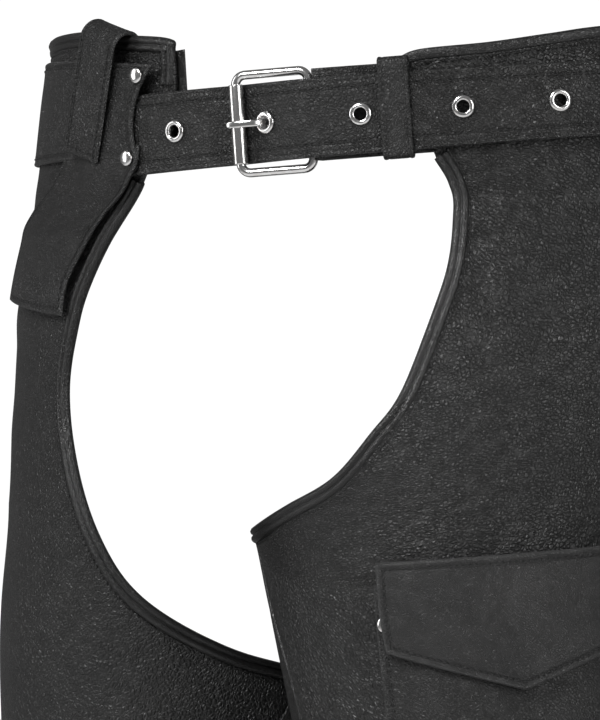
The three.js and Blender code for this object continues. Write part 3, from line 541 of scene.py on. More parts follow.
def seam_group():
    """A stitched seam at a set distance from a turned edge: a dip, needle pits darkened with painted shade,
    and a painted highlight along the rim.
    """
    tree, given, result = group_tree(
        "Stitched seam",
        [("Edge", "Vector", None), ("Inset", "Float", 0.004), ("Spacing", "Float", STITCH_SPACING * MM)],
        [(label, "Float") for label in ("Height", "Pits", "Painted rim highlight")],
    )
    split = put(tree, "ShaderNodeSeparateXYZ", {0: given.outputs["Edge"]})
    away = math_node(tree, "ABSOLUTE", math_node(tree, "SUBTRACT", split.outputs[0], given.outputs["Inset"]))
    dip = ramp(tree, away, 0.0016, 0.0)
    narrow = ramp(tree, away, 0.00085, 0.00025)
    turn = math_node(tree, "FRACT", math_node(tree, "DIVIDE", split.outputs[1], given.outputs["Spacing"]))
    middle = math_node(tree, "ABSOLUTE", math_node(tree, "SUBTRACT", turn, 0.5))
    hole = math_node(tree, "MULTIPLY", narrow, ramp(tree, middle, 0.28, 0.42))
    lowered = math_node(tree, "MULTIPLY_ADD", dip, 0.5, math_node(tree, "MULTIPLY", hole, 0.5))
    height = math_node(tree, "SUBTRACT", 1.0, lowered)
    # The pits mask: painted shade in the stitch groove and the needle holes.
    pits = math_node(tree, "MAXIMUM", math_node(tree, "MULTIPLY", narrow, 0.55), hole)
    # The rim mask: a painted highlight that lightens the colour within 2.6 mm of the turned edge.
    rim = ramp(tree, split.outputs[0], 0.0026, 0.0006)
    return give(tree, result, {"Height": height, "Pits": pits, "Painted rim highlight": rim})


def new_material(name):
    material = bpy.data.materials.new(name)
    material.use_nodes = True
    tree = material.node_tree
    return material, tree, tree.nodes["Principled BSDF"]


def dress(tree, shader, color, rough, normal):
    for label, value in (("Base Color", color), ("Roughness", rough), ("Normal", normal)):
        tree.links.new(value, shader.inputs[label])


def mixed(tree, factor, a, b):
    made = put(tree, "ShaderNodeMix", data_type="RGBA")
    for key, value in (("Factor_Float", factor), ("A_Color", a), ("B_Color", b)):
        socket = next(s for s in made.inputs if s.identifier == key)
        if isinstance(value, bpy.types.NodeSocket):
            tree.links.new(value, socket)
        else:
            socket.default_value = value
    return next(s for s in made.outputs if s.identifier == "Result_Color")


def tone(level, warmth=0.0):
    return (level * (1 + warmth), level, level * (1 - 0.5 * warmth), 1)


def leather(name, level, cell, depth, gloss, inset=None, stretch=1.4, turn=0.6, by_object=False,
            crease=0.0012):
    """Dyed hide. Gloss is its mean roughness, and depth the grain's height in millimetres."""
    material, tree, shader = new_material(name)
    if by_object:
        where = put(tree, "ShaderNodeTexCoord").outputs["Object"]
    else:
        where = put(tree, "ShaderNodeUVMap", uv_map="Surface").outputs[0]
    grain = put(tree, "ShaderNodeGroup", node_tree=LEATHER_GRAIN)
    for key, value in (("Cell", cell * MM), ("Stretch", stretch), ("Turn", turn)):
        grain.inputs[key].default_value = value
    tree.links.new(where, grain.inputs["Vector"])
    out = grain.outputs
    color = mixed(tree, ramp(tree, out["Mottle"], 0.35, 0.68), tone(level * 0.8), tone(level * 1.25, 0.03))
    color = mixed(tree, math_node(tree, "MULTIPLY", out["Pores"], 0.6), color, tone(level * 0.35))
    uneven = math_node(tree, "MULTIPLY_ADD", out["Mottle"], -0.4, gloss + 0.2)
    rough = math_node(tree, "MULTIPLY_ADD", out["Pores"], 0.16, uneven)
    broad = put(tree, "ShaderNodeBump", {"Height": out["Creases"], "Distance": crease, "Strength": 1.0})
    normal = broad.outputs[0]
    if inset is not None:
        edge = put(tree, "ShaderNodeUVMap", uv_map="Edge").outputs[0]
        seam = put(tree, "ShaderNodeGroup", node_tree=SEAM)
        tree.links.new(edge, seam.inputs["Edge"])
        seam.inputs["Inset"].default_value = inset * MM
        bump = put(tree, "ShaderNodeBump", {"Height": seam.outputs["Height"], "Distance": 0.0009,
                                            "Normal": normal})
        normal = bump.outputs[0]
        # Painted shade: the stitch groove and needle holes are darkened almost to black.
        color = mixed(tree, math_node(tree, "MULTIPLY", seam.outputs["Pits"], 0.85), color, tone(0.002))
        # Painted highlight: the rim along the turned edge is lightened to three times the leather's level.
        color = mixed(tree, math_node(tree, "MULTIPLY", seam.outputs["Painted rim highlight"], 0.5), color, tone(level * 3))
        rough = math_node(tree, "MULTIPLY_ADD", seam.outputs["Painted rim highlight"], -0.12, rough)
        rough = math_node(tree, "MULTIPLY_ADD", seam.outputs["Pits"], 0.3, rough)
    fine = put(tree, "ShaderNodeBump", {"Height": out["Height"], "Distance": depth * MM, "Normal": normal})
    dress(tree, shader, color, rough, fine.outputs[0])
    return material


def nickel(name, level, roughness):
    """Plated metal, with fine scuffs that catch the light unevenly."""
    material, tree, shader = new_material(name)
    where = put(tree, "ShaderNodeTexCoord").outputs["Object"]
    cloud = put(tree, "ShaderNodeTexNoise", {"Vector": where, "Scale": 260.0, "Detail": 4.0})
    scuff = put(tree, "ShaderNodeTexNoise", {"Vector": where, "Scale": 2400.0, "Detail": 2.0})
    color = mixed(tree, ramp(tree, cloud.outputs[0], 0.35, 0.7), tone(level), tone(level * 0.86, 0.03))
    rough = math_node(tree, "MULTIPLY_ADD", cloud.outputs[0], 0.16, roughness - 0.05)
    bump = put(tree, "ShaderNodeBump", {"Height": scuff.outputs[0], "Distance": 0.00001})
    dress(tree, shader, color, rough, bump.outputs[0])
    shader.inputs["Metallic"].default_value = 1.0
    return material


def woven(name, level, pitch):
    """Tightly woven tape or lining: crossing ribs."""
    material, tree, shader = new_material(name)
    where = put(tree, "ShaderNodeUVMap", uv_map="Surface").outputs[0]
    split = put(tree, "ShaderNodeSeparateXYZ", {0: where})
    waves = []
    for socket in (split.outputs[0], split.outputs[1]):
        turn = math_node(tree, "MULTIPLY", socket, 2 * math.pi / (pitch * MM))
        waves.append(math_node(tree, "SINE", turn))
    weave = math_node(tree, "MULTIPLY", waves[0], waves[1])
    height = math_node(tree, "MULTIPLY_ADD", weave, 0.5, 0.5)
    fuzz = put(tree, "ShaderNodeTexNoise", {"Vector": where, "Scale": 900.0, "Detail": 3.0})
    color = mixed(tree, height, tone(level * 0.5), tone(level))
    rough = math_node(tree, "MULTIPLY_ADD", fuzz.outputs[0], 0.25, 0.7)
    bump = put(tree, "ShaderNodeBump", {"Height": height, "Distance": 0.00012})
    dress(tree, shader, color, rough, bump.outputs[0])
    return material


def thread_material():
    """Waxed black thread with a twist."""
    material, tree, shader = new_material("black_thread")
    where = put(tree, "ShaderNodeTexCoord").outputs["Object"]
    twist = put(tree, "ShaderNodeTexWave", {"Vector": where, "Scale": 900.0, "Distortion": 2.0})
    color = mixed(tree, twist.outputs["Fac"], tone(0.004), tone(0.016))
    rough = math_node(tree, "MULTIPLY_ADD", twist.outputs["Fac"], 0.2, 0.45)
    bump = put(tree, "ShaderNodeBump", {"Height": twist.outputs["Fac"], "Distance": 0.00006})
    dress(tree, shader, color, rough, bump.outputs[0])
    return material


LEATHER_GRAIN = leather_grain_group()
SEAM = seam_group()
PANEL_HIDE = leather("panel_hide", 0.0085, 1.7, 0.62, 0.40, inset=8.2, stretch=1.6, turn=0.65)
BELT_HIDE = leather("belt_hide", 0.0085, 1.7, 0.6, 0.40, inset=6.3, stretch=1.1, turn=0.2, crease=0.0006)
BAND_HIDE = leather("band_hide", 0.0085, 1.4, 0.5, 0.40, inset=3.6, stretch=1.3, turn=1.1, crease=0.0006)
FLAP_HIDE = leather("flap_hide", 0.017, 1.0, 0.36, 0.44, inset=4.0, stretch=1.2, turn=0.9, crease=0.0008)
POCKET_HIDE = leather("pocket_hide", 0.011, 1.3, 0.46, 0.42, inset=4.6, stretch=1.4, turn=0.7)
EDGE_HIDE = leather("edge_hide", 0.0075, 0.9, 0.14, 0.32, stretch=2.2, turn=1.5, crease=0.0002)
FOLDED_HIDE = leather("folded_hide", 0.0085, 1.4, 0.4, 0.4, by_object=True, crease=0.0004)
TAPE = woven("zip_tape_cloth", 0.009, 0.7)
NICKEL = nickel("bright_nickel", 0.78, 0.16)
ZIP_METAL = nickel("zip_metal", 0.42, 0.3)
THREAD = thread_material()


# ---- Repeated parts: stitches, zip teeth, eyelets and rivets -------------------------------
def geometry_tree(name, inputs):
    """A Geometry Nodes tree that takes and gives geometry, and takes the finish for what it makes."""
    inputs = [("Geometry", "Geometry", None), *inputs, ("Material", "Material", None)]
    return group_tree(name, inputs, [("Geometry", "Geometry")], "GeometryNodeTree")


def stored_out(tree):
    """The outward direction that each point of a run carries."""
    kept = put(tree, "GeometryNodeInputNamedAttribute", {"Name": "out"}, data_type="FLOAT_VECTOR")
    return kept.outputs[0]


def vector_node(tree, operation, a, b):
    """A vector sum, product or cross product, or for SCALE a vector times a number."""
    return put(tree, "ShaderNodeVectorMath", {0: a, "Scale" if operation == "SCALE" else 1: b},
               operation=operation).outputs[0]


def points_along(tree, given):
    """Points set evenly along the given path."""
    curve = put(tree, "GeometryNodeMeshToCurve", {"Mesh": given.outputs["Geometry"]})
    return put(tree, "GeometryNodeResampleCurve",
               {"Curve": curve.outputs[0], "Length": given.outputs["Spacing"]}, mode="LENGTH").outputs[0]


def facing_out(tree, along):
    """A rotation with x along the path and z along the stored outward direction."""
    align = "FunctionNodeAlignRotationToVector"
    first = put(tree, align, {"Vector": along}, axis="X").outputs[0]
    links = {"Rotation": first, "Vector": stored_out(tree)}
    return put(tree, align, links, axis="Z", pivot_axis="X").outputs[0]


def end_tree(tree, result, given, instances):
    real = put(tree, "GeometryNodeRealizeInstances", {"Geometry": instances})
    dressed = put(tree, "GeometryNodeSetMaterial",
                  {"Geometry": real.outputs[0], "Material": given.outputs["Material"]})
    tree.links.new(dressed.outputs[0], result.inputs[0])
    return tree


def stitch_tree():
    """Short beads of thread set along a path, each turned a little at random."""
    tree, given, result = geometry_tree("Stitch run", [
        ("Spacing", "Float", STITCH_SPACING * MM), ("Length", "Float", 0.0024),
        ("Thickness", "Float", 0.0007), ("Wander", "Float", 0.05), ("Seed", "Int", 7)])
    along = put(tree, "GeometryNodeInputTangent").outputs[0]
    wander = given.outputs["Wander"]
    jitter = put(tree, "FunctionNodeRandomValue", {
        0: vector_node(tree, "SCALE", (-1, -1, -1), wander), 1: vector_node(tree, "SCALE", (1, 1, 1), wander),
        "Seed": given.outputs["Seed"]}, data_type="FLOAT_VECTOR")
    turned_along = vector_node(tree, "ADD", along, jitter.outputs[0])
    bead = put(tree, "GeometryNodeMeshUVSphere", {"Segments": 8, "Rings": 5, "Radius": 0.5})
    size = put(tree, "ShaderNodeCombineXYZ",
               {0: given.outputs["Length"], 1: given.outputs["Thickness"], 2: given.outputs["Thickness"]})
    shaped = put(tree, "GeometryNodeTransform", {"Geometry": bead.outputs[0], "Scale": size.outputs[0]})
    soft = put(tree, "GeometryNodeSetShadeSmooth", {"Geometry": shaped.outputs[0]})
    instances = put(tree, "GeometryNodeInstanceOnPoints", {
        "Points": points_along(tree, given), "Instance": soft.outputs[0],
        "Rotation": facing_out(tree, turned_along)})
    return end_tree(tree, result, given, instances.outputs[0])


def tooth_tree():
    """Zip teeth down a line, alternating from side to side."""
    tree, given, result = geometry_tree("Zip teeth", [
        ("Spacing", "Float", 0.0015), ("Width", "Float", 0.0034), ("Thickness", "Float", 0.0021),
        ("Reach", "Float", 0.0011)])
    along = put(tree, "GeometryNodeInputTangent").outputs[0]
    sideways = vector_node(tree, "CROSS_PRODUCT", along, stored_out(tree))
    index = put(tree, "GeometryNodeInputIndex").outputs[0]
    odd = math_node(tree, "MODULO", index, 2.0)
    sign = math_node(tree, "MULTIPLY_ADD", odd, 2.0, -1.0)
    amount = math_node(tree, "MULTIPLY", sign, given.outputs["Reach"])
    shift = vector_node(tree, "SCALE", sideways, amount)
    shifted = put(tree, "GeometryNodeSetPosition", {"Geometry": points_along(tree, given), "Offset": shift})
    size = put(tree, "ShaderNodeCombineXYZ", {0: math_node(tree, "MULTIPLY", given.outputs["Spacing"], 0.62),
                                              1: given.outputs["Width"], 2: given.outputs["Thickness"]})
    tooth = put(tree, "GeometryNodeMeshUVSphere", {"Segments": 8, "Rings": 4, "Radius": 0.58})
    shaped = put(tree, "GeometryNodeTransform", {"Geometry": tooth.outputs[0], "Scale": size.outputs[0]})
    instances = put(tree, "GeometryNodeInstanceOnPoints", {
        "Points": shifted.outputs[0], "Instance": shaped.outputs[0], "Rotation": facing_out(tree, along)})
    return end_tree(tree, result, given, instances.outputs[0])


def fitting_tree():
    """The same fitting seated on each point, standing along the stored outward direction."""
    tree, given, result = geometry_tree("Seated fittings", [
        ("Fitting", "Object", None), ("Size", "Float", 1.0)])
    shape = put(tree, "GeometryNodeObjectInfo", {"Object": given.outputs["Fitting"]})
    facing = put(tree, "FunctionNodeAlignRotationToVector", {"Vector": stored_out(tree)}, axis="Z").outputs[0]
    instances = put(tree, "GeometryNodeInstanceOnPoints", {
        "Points": given.outputs["Geometry"], "Instance": shape.outputs["Geometry"],
        "Rotation": facing, "Scale": given.outputs["Size"]})
    return end_tree(tree, result, given, instances.outputs[0])


STITCHES = stitch_tree()
TEETH = tooth_tree()
FITTINGS = fitting_tree()


def grown(name, points, outs, chains, tree, **values):
    """Runs a tree on points with outward directions. Chains join the points into paths."""
    mesh = bpy.data.meshes.new(name)
    links = [(a, b) for chain in chains for a, b in zip(chain, chain[1:])]
    mesh.from_pydata([tuple(p) for p in np.asarray(points) * MM], links, [])
    layer = mesh.attributes.new("out", "FLOAT_VECTOR", "POINT")
    layer.data.foreach_set("vector", np.asarray(outs, np.float32).ravel())
    piece = placed(name, mesh)
    run = piece.modifiers.new("Run", "NODES")
    run.node_group = tree
    for item in tree.interface.items_tree:
        if item.in_out == "INPUT" and item.name in values:
            run[item.identifier] = values[item.name]
    return settled(piece)


class Seams:
    """Collects stitch paths for one body, and lays them on the finished leather."""

    def __init__(self):
        self.points, self.outs, self.chains = [], [], []

    def add(self, path, outs, on=None, raise_by=0.1):
        path, outs = np.asarray(path, float), unit(np.asarray(outs, float))
        if on is not None:
            tree = BVHTree.FromObject(on, bpy.context.evaluated_depsgraph_get())
            laid = []
            for p, n in zip(path, outs):
                hit = tree.ray_cast(Vector((p + n * 9) * MM), Vector(-n), 0.018)[0]
                laid.append(np.array(hit) / MM if hit is not None else p)
            path = np.array(laid)
        start = len(self.points)
        self.points += list(path + outs * raise_by)
        self.outs += list(outs)
        self.chains.append(list(range(start, start + len(path))))


    def run(self, place, u, v, on):
        """A line of stitches over a piece's own shares across and down, on its outer face."""
        u, v = np.broadcast_arrays(np.asarray(u, float), v)
        path = place(u, v, 0.0)
        self.add(path, place(u, v, 1.0) - path, on)


seams = Seams()
flap_seams = Seams()


# ---- Leg panels ----------------------------------------------------------------------------
def seam_half_gap(z):
    """Half the distance between the panels at the outside seam, open where the zip runs."""
    return lerp(4.2, 0.12, smoothstep(z, SEAM_TOP, SEAM_TOP + 35))


def panel_at(leg, edge, inseam, across, down):
    direction = 1 if inseam > 0 else -1
    in_top = down < 0.5
    t = np.where(in_top, down / 0.5, (down - 0.5) / 0.5)
    inner = spline(edge, t)
    inner_angle = np.where(in_top, inner[..., 0], inseam)
    inner_z = np.where(in_top, inner[..., 1], lerp(edge[-1][1], HEM, t))
    top_z = read(leg["top_edge"], OUTSEAM)
    outer_z = np.where(in_top, lerp(top_z, leg["seam_break"], t), lerp(leg["seam_break"], HEM, t))
    outer_angle = OUTSEAM + direction * seam_half_gap(outer_z)
    angle = lerp(inner_angle, outer_angle, across)
    wanted = read(leg["top_edge"], lerp(edge[0][0], OUTSEAM, across))
    lift = np.where(in_top, (wanted - lerp(edge[0][1], top_z, across)) * (1 - t) ** 3, 0)
    return angle, lerp(inner_z, outer_z, across) + lift


def fold(points, seed):
    """Slow waves and diagonal drag lines in worn leather, about a millimetre high."""
    flat = points.reshape(-1, 3)
    shift = Vector((seed, 2 * seed, 0))
    rise = np.empty(len(flat))
    for n, (x, y, z) in enumerate(flat):
        wave = noise.noise(Vector((x / 62, y / 62, z / 80)) + shift)
        drag = noise.noise(Vector(((x + 0.7 * z) / 34, y / 60, (z - 0.7 * x) / 90)) + shift * 3)
        rise[n] = 1.0 * wave + 0.55 * drag
    return rise.reshape(points.shape[:2])


def leg_panel(leg, name, edge_name, inseam, seed):
    edge = leg[edge_name]
    across = np.concatenate([[0, 0.006, 0.014, 0.024, 0.036], np.linspace(0.05, 0.985, 76), [0.993, 1]])
    down = np.concatenate([np.linspace(0, 0.5, 190)[:-1], np.linspace(0.5, 1, 130)])
    u, v = np.meshgrid(across, down)
    angle, z = panel_at(leg, edge, inseam, u, v)
    base = leg_point(leg, angle, z)
    out = leg_point(leg, angle, z, 1.0) - base
    near = edge_map(base, ["left", "top"])
    calm = smoothstep(near[..., 0], 8, 40) * smoothstep(np.abs(z), 46, 95)
    calm *= smoothstep(edge_map(base, ["right"])[..., 0], 14, 45)
    # Under the pocket the leg lies flat, so that nothing pokes through.
    if leg is LEFT:
        on_pocket = smoothstep(z, -425, -404) * smoothstep(-z, 210, 228)
        on_pocket *= smoothstep(angle, -21, -11) * smoothstep(-angle, -86, -76)
        calm *= 1 - on_pocket
    rise = np.clip(fold(base, seed), -1.4, 1.3) * calm
    outer = base + out * rise[..., None]
    inner = base + out * (rise - LEATHER)[..., None]
    piece = leaf(name + "_hide", outer, inner, near)
    finish(piece, PANEL_HIDE, nodes=[name])
    return piece


def edge_path(leg, points, steps, side):
    """A path along an edge on the leg's surface, with its inward and outward directions."""
    t = np.linspace(0, 1, steps)
    at = spline(points, t)
    path = leg_point(leg, at[:, 0], at[:, 1])
    out = unit(leg_point(leg, at[:, 0], at[:, 1], 1.0) - path)
    ahead = np.gradient(path, axis=0)
    return path, unit(np.cross(ahead, out)) * -leg["side"] * side, out


BINDING = [[7.0, -3.1], [3.5, -3.7], [0.6, -3.5], [-0.7, -2.5], [-1.1, -1.2], [-0.9, 0.3], [-0.1, 1.5],
           [1.1, 2.1], [2.2, 1.75], [2.8, 0.95], [3.15, 0.75], [3.5, 1.15], [4.3, 1.75], [5.4, 1.7],
           [6.3, 1.1], [6.9, 0.2], [7.1, -0.7], [7.2, -2.2]]


def bound_edge(leg, node, points, steps, side, panel, stitched=8.2):
    path, inward, out = edge_path(leg, points, steps, side)
    piece = sweep(node + "_rolled", path, inward, out, BINDING)
    finish(piece, EDGE_HIDE, nodes=[node])
    seams.add(path + inward * stitched, out, panel)
    return piece


def dress_leg(leg, side_name, seed):
    front = leg_panel(leg, side_name + "_front_panel", "front_edge", INSEAM, seed)
    back = leg_panel(leg, side_name + "_back_panel", "seat_edge", 360 + INSEAM, seed + 5)
    below_belt = [[a, z] for a, z in leg["front_edge"] if z <= BELT_CLEAR]
    bound_edge(leg, side_name + "_front_binding", below_belt, 420, 1, front)
    bound_edge(leg, side_name + "_seat_binding", leg["seat_edge"], 320, -1, back)
    angles = np.degrees(np.linspace(math.radians(OUTSEAM + 5), math.radians(OUTSEAM + 355), 160))
    path = leg_point(leg, angles, np.full(160, HEM, float))
    out = unit(leg_point(leg, angles, np.full(160, HEM, float), 1.0) - path)
    up = np.tile([0.0, 0.0, 1.0], (160, 1))
    hem = [[0.2, 0.6], [0.0, 1.8], [0.5, 3.1], [2, 3.5], [8, 3.3], [13, 3.2], [15, 2.7], [16, 1.4], [16, 0.4]]
    cuff = sweep(side_name + "_cuff_folded", path, up, out, hem)
    finish(cuff, EDGE_HIDE, nodes=[side_name + "_cuff"])
    seams.add(path + up * 12.5 + out * 3.2, out, cuff)
    return front, back


right_front, right_back = dress_leg(RIGHT, "right", 3.1)
left_front, left_back = dress_leg(LEFT, "left", 8.4)


def raised_welt(leg, name, rows, width=3.6, height=1.5):
    """A narrow sewn ridge that lies on the leg down a line of [height, angle]."""
    z = np.linspace(rows[0][0], rows[-1][0], 260)
    path = leg_point(leg, read(rows, z), z)
    out = unit(leg_point(leg, read(rows, z), z, 1.0) - path)
    across = unit(np.cross(np.gradient(path, axis=0), out))
    a = np.linspace(0, math.pi, 9)
    profile = [[width / 2 * math.cos(t), height * math.sin(t) - 0.3] for t in a]
    profile += [[-width / 2, -1.4], [width / 2, -1.4]]
    piece = sweep(name, path, across, out, profile)
    finish(piece, EDGE_HIDE)


raised_welt(LEFT, "left_inseam_welt", [[HEM + 18, -58], [-560, -50], [-300, -47], [-211, -67]])
raised_welt(RIGHT, "right_inseam_welt", [[HEM + 18, -60], [-560, -52], [-330, -55], [-281, -71]])

# The right panel's corner and top edge are bound too, with a second folded layer inside.
RIGHT_TOP = [[21.6, 24], [21.1, 41], [22.4, 46.9], [35, 51.8], [47, 56], [67, 56], [90, 51], [100, 47.3]]
bound_edge(RIGHT, "right_top_binding", RIGHT_TOP, 300, -1, right_front)
LEFT_TOP = [[20.4, 27.2], [24, 30], [36, 31], [48, 33.5], [61, 36], [90, 38], [102.5, 36.3]]
LEFT_FOLD = [[5.2, -2.9], [1.5, -3.2], [0.2, -2.9], [-0.5, -1.2], [-0.2, 0.2], [0.8, 0.8], [2.6, 0.75],
             [4.4, 0.5], [5.2, 0.0], [5.3, -1.4]]
left_top_path, left_top_in, left_top_out = edge_path(LEFT, LEFT_TOP, 260, -1)
left_top = sweep("left_top_fold", left_top_path, left_top_in, left_top_out, LEFT_FOLD)
finish(left_top, EDGE_HIDE)
seams.add(left_top_path + left_top_in * 6.0, left_top_out, left_front)

# ---- Zips ----------------------------------------------------------------------------------
ZIP_TOP = SEAM_TOP - 12
ZIP_BOTTOM = HEM + 14


def zip_closure(leg, side_name, panels):
    rows = np.linspace(0, 1, 150)
    for label, sign in (("front", -1), ("back", 1)):
        u, v = np.meshgrid(np.linspace(0, 1, 7), rows)
        z = lerp(ZIP_TOP, ZIP_BOTTOM, v)
        step = np.linalg.norm(leg_point(leg, OUTSEAM + 1, z) - leg_point(leg, OUTSEAM, z), axis=-1)
        angle = OUTSEAM + sign * (3.0 + u * 13.2) / step
        tape = leaf(f"{side_name}_zip_{label}_cloth", leg_point(leg, angle, z, -LEATHER - 1.5),
                    leg_point(leg, angle, z, -LEATHER - 2.5))
        finish(tape, TAPE, nodes=[f"{side_name}_zip_{label}_tape"])
    z = np.linspace(ZIP_TOP, ZIP_BOTTOM, 60)
    path = leg_point(leg, OUTSEAM, z, -LEATHER)
    outs = np.tile([float(leg["side"]), 0.0, 0.0], (60, 1))
    teeth = grown(side_name + "_zip_teeth_run", path, outs, [list(range(60))], TEETH, Material=ZIP_METAL)
    finish(teeth, ZIP_METAL, nodes=[side_name + "_zip_teeth"])
    for part in ("slider", "pull"):
        node = f"{side_name}_zip_{part}"
        finish(cad_copy(node, node + "_finished", 0.45), NICKEL, node, [node])
    stop = f"{side_name}_zip_stop"
    finish(cad_copy(stop, stop + "_finished", 0.6), ZIP_METAL, nodes=[stop])
    # The panels' edges along the zip are stitched down.
    for sign, panel in zip((-1, 1), panels):
        z = np.linspace(ZIP_TOP + 6, ZIP_BOTTOM, 200)
        step = np.linalg.norm(leg_point(leg, OUTSEAM + 1, z) - leg_point(leg, OUTSEAM, z), axis=-1)
        angle = OUTSEAM + sign * (4.2 + 4.5 / step)
        path = leg_point(leg, angle, z)
        seams.add(path, leg_point(leg, angle, z, 1.0) - path, panel)


zip_closure(RIGHT, "right", (right_front, right_back))
zip_closure(LEFT, "left", (left_front, left_back))


# ---- Waist: facings, back panel, strap ------------------------------------------------------
def waist_leaf(name, start, end, count, top, bottom, outer, thickness, sides, material, nodes,
               roll=ROLLED):
    us = spread(count, abs(end - start) * 2.6)
    middle = np.array(0.5 * (start + end))
    vs = spread(10, float(top(middle) - bottom(middle)))

    def place(u, v, more):
        angle = lerp(start, end, u)
        return waist_point(angle, lerp(top(angle), bottom(angle), v), outer(angle) + more)

    piece = rolled_leaf(name + "_sewn", place, us, vs, thickness, sides, roll)
    return finish(piece, material, nodes=nodes)


def level(value):
    """An edge or face that keeps one height all the way round."""
    return lambda angle: np.full(np.shape(angle), float(value))


def right_facing_top(a):
    return read([[19, 41.5], [29, 40], [34, 26], [50, 26], [62, 38], [100, 38]], -a)


def left_facing_top(a):
    return read([[21, 24], [36, 27], [61, 32], [77, 32]], a)


THIN = [[0, -0.6], [0.3, -0.2], [0.8, 0.05], [1.6, 0.0], [400, 0]]
waist_leaf("right_waist_facing", -19.4, -100, 60, right_facing_top, level(-14), level(-3.9), 1.4, ["left"],
           EDGE_HIDE, ["right_waist_facing"], THIN)
waist_leaf("left_waist_facing", 21, 77, 60, left_facing_top, level(-14), level(-7), 1.4, ["left"],
           EDGE_HIDE, ["left_waist_facing"], THIN)
back_waist = waist_leaf("back_waist_panel", 97, 263, 150, level(30), level(-8), level(7.5), LEATHER,
                        ["top", "bottom", "left", "right"], BAND_HIDE, ["back_waist_panel"])
for z in (26.4, -4.4):
    angles = np.linspace(98.5, 261.5, 300)
    seams.add(waist_point(angles, z, 7.5), waist_normal(angles), back_waist)

STRAP_RISE = [
    [STRAP_START, 4.2], [-20, 4.2], [-14, 3.4], [ROLLER_ANGLE, 1.5], [-2, 5.2], [PIVOT_ANGLE, 9.6],
    [10, 8.4], [17, 7], [22, 6.8], [30, 4.2], [STRAP_END, 4.2],
]
STRAP_ROLL = [[0, -1.7], [0.25, -0.75], [0.7, -0.1], [1.3, 0.15], [2, -0.1], [2.6, -0.3], [3.4, 0.0],
              [4.6, 0.1], [6, -0.12], [7.5, 0], [400, 0]]


def strap_offset(angle):
    return read(STRAP_RISE, angle)


def strap_half_height(angle):
    tip = np.clip((STRAP_END - angle) / 6, 0, 1)
    return lerp(STRAP_HALF_HEIGHT, 18.6, (angle - STRAP_START) / 110) * np.sqrt(0.12 + 0.88 * tip)


def standing(point, out):
    """A frame with x along the waist, y up and z along out."""
    along = unit(np.cross([0.0, 0.0, 1.0], out))
    up = np.cross(out, along)
    rows = np.eye(4)
    rows[:3, 0], rows[:3, 1], rows[:3, 2], rows[:3, 3] = along, up, out, point
    return rows.tolist()


def eyelet_seat(angle):
    before, here, after = (waist_point(a, 0, strap_offset(a)) for a in (angle - 0.5, angle, angle + 0.5))
    return here, unit(np.cross(after - before, [0.0, 0.0, 1.0]))


def strap():
    us = spread(260, 380)
    vs = spread(22, 41)

    def place(u, v, more):
        angle = lerp(STRAP_START, STRAP_END, u)
        return waist_point(angle, lerp(1, -1, v) * strap_half_height(angle), strap_offset(angle) + more)

    def lift(u, v):
        """A shallow dish where each eyelet pulls the leather down."""
        angle, z = lerp(STRAP_START, STRAP_END, u), lerp(1, -1, v) * STRAP_HALF_HEIGHT
        low = np.zeros(u.shape)
        for at in EYELET_ANGLES:
            away = np.hypot((angle - at) * 2.9, z)
            low -= 0.4 * np.exp(-((away / 9) ** 2))
        return low

    piece = rolled_leaf("eyelet_strap_sewn", place, us, vs, STRAP_THICKNESS, ["top", "bottom", "right"],
                        STRAP_ROLL, lift)
    punches = []
    for angle in EYELET_ANGLES:
        point, out = eyelet_seat(angle)
        punch = turned("punch", [[0, -9], [4.1, -9], [4.1, 6], [0, 6]], 32)
        punches.append(move(punch, standing(point, out)))
    cutter = joined("punches", punches)
    cut = piece.modifiers.new("Holes", "BOOLEAN")
    cut.object = cutter
    cut.solver = "EXACT"
    settled(piece)
    bpy.data.objects.remove(cutter)
    finish(piece, BELT_HIDE, nodes=["eyelet_strap"])
    last = STRAP_END - 2.2
    angles = np.linspace(STRAP_START + 1, last, 500)
    for sign in (1, -1):
        z = sign * (strap_half_height(angles) - 6.3)
        seams.add(waist_point(angles, z, strap_offset(angles)), waist_normal(angles), piece)
    z = np.linspace(11, -11, 40)
    seams.add(waist_point(last, z, 4.2), np.tile(waist_normal(last), (40, 1)), piece)


def joined(name, parts):
    form = bmesh.new()
    for part in parts:
        form.from_mesh(part.data)
        bpy.data.objects.remove(part)
    mesh = bpy.data.meshes.new(name)
    form.to_mesh(mesh)
    form.free()
    return placed(name, mesh)


strap()


# ---- Eyelets and rivets --------------------------------------------------------------------
def seated(name, fitting, places, nodes, size=1.0):
    points, outs = [p for p, _ in places], [n for _, n in places]
    piece = grown(name, points, outs, [], FITTINGS, Fitting=fitting, Size=size, Material=NICKEL)
    bpy.data.objects.remove(fitting)
    return finish(piece, NICKEL, nodes=nodes)


eyelet = turned("eyelet", [
    [3.1, -3.4], [3.05, -1.0], [3.05, 0.3], [3.15, 0.75], [3.4, 1.1], [3.8, 1.3], [4.3, 1.36], [4.8, 1.25],
    [5.3, 0.98], [5.65, 0.6], [5.75, 0.25], [5.6, -0.1], [5.0, -0.25], [4.2, -0.3], [4.0, -0.6], [4.0, -3.4]])
seated("eyelets", eyelet, [eyelet_seat(a) for a in EYELET_ANGLES],
       [f"eyelet_{n + 1}" for n in range(len(EYELET_ANGLES))])


def dome(radius, height):
    """A domed rivet cap with a rolled rim."""
    a = np.linspace(0, math.pi / 2, 9)
    cap = [[radius * math.sin(t), height * 0.35 + height * 0.65 * math.cos(t)] for t in a[::-1]]
    cap[-1][0] = 0
    return turned("dome", [[0, -0.3], [radius * 0.92, -0.3], [radius, 0.05], *cap], 36)


STRAP_RIVETS = ((27.3, 30.2), (30.4, -11.2))


def band_outer(angle):
    return lerp(7.2, 2.8, smoothstep(np.abs(angle), 39, 47))


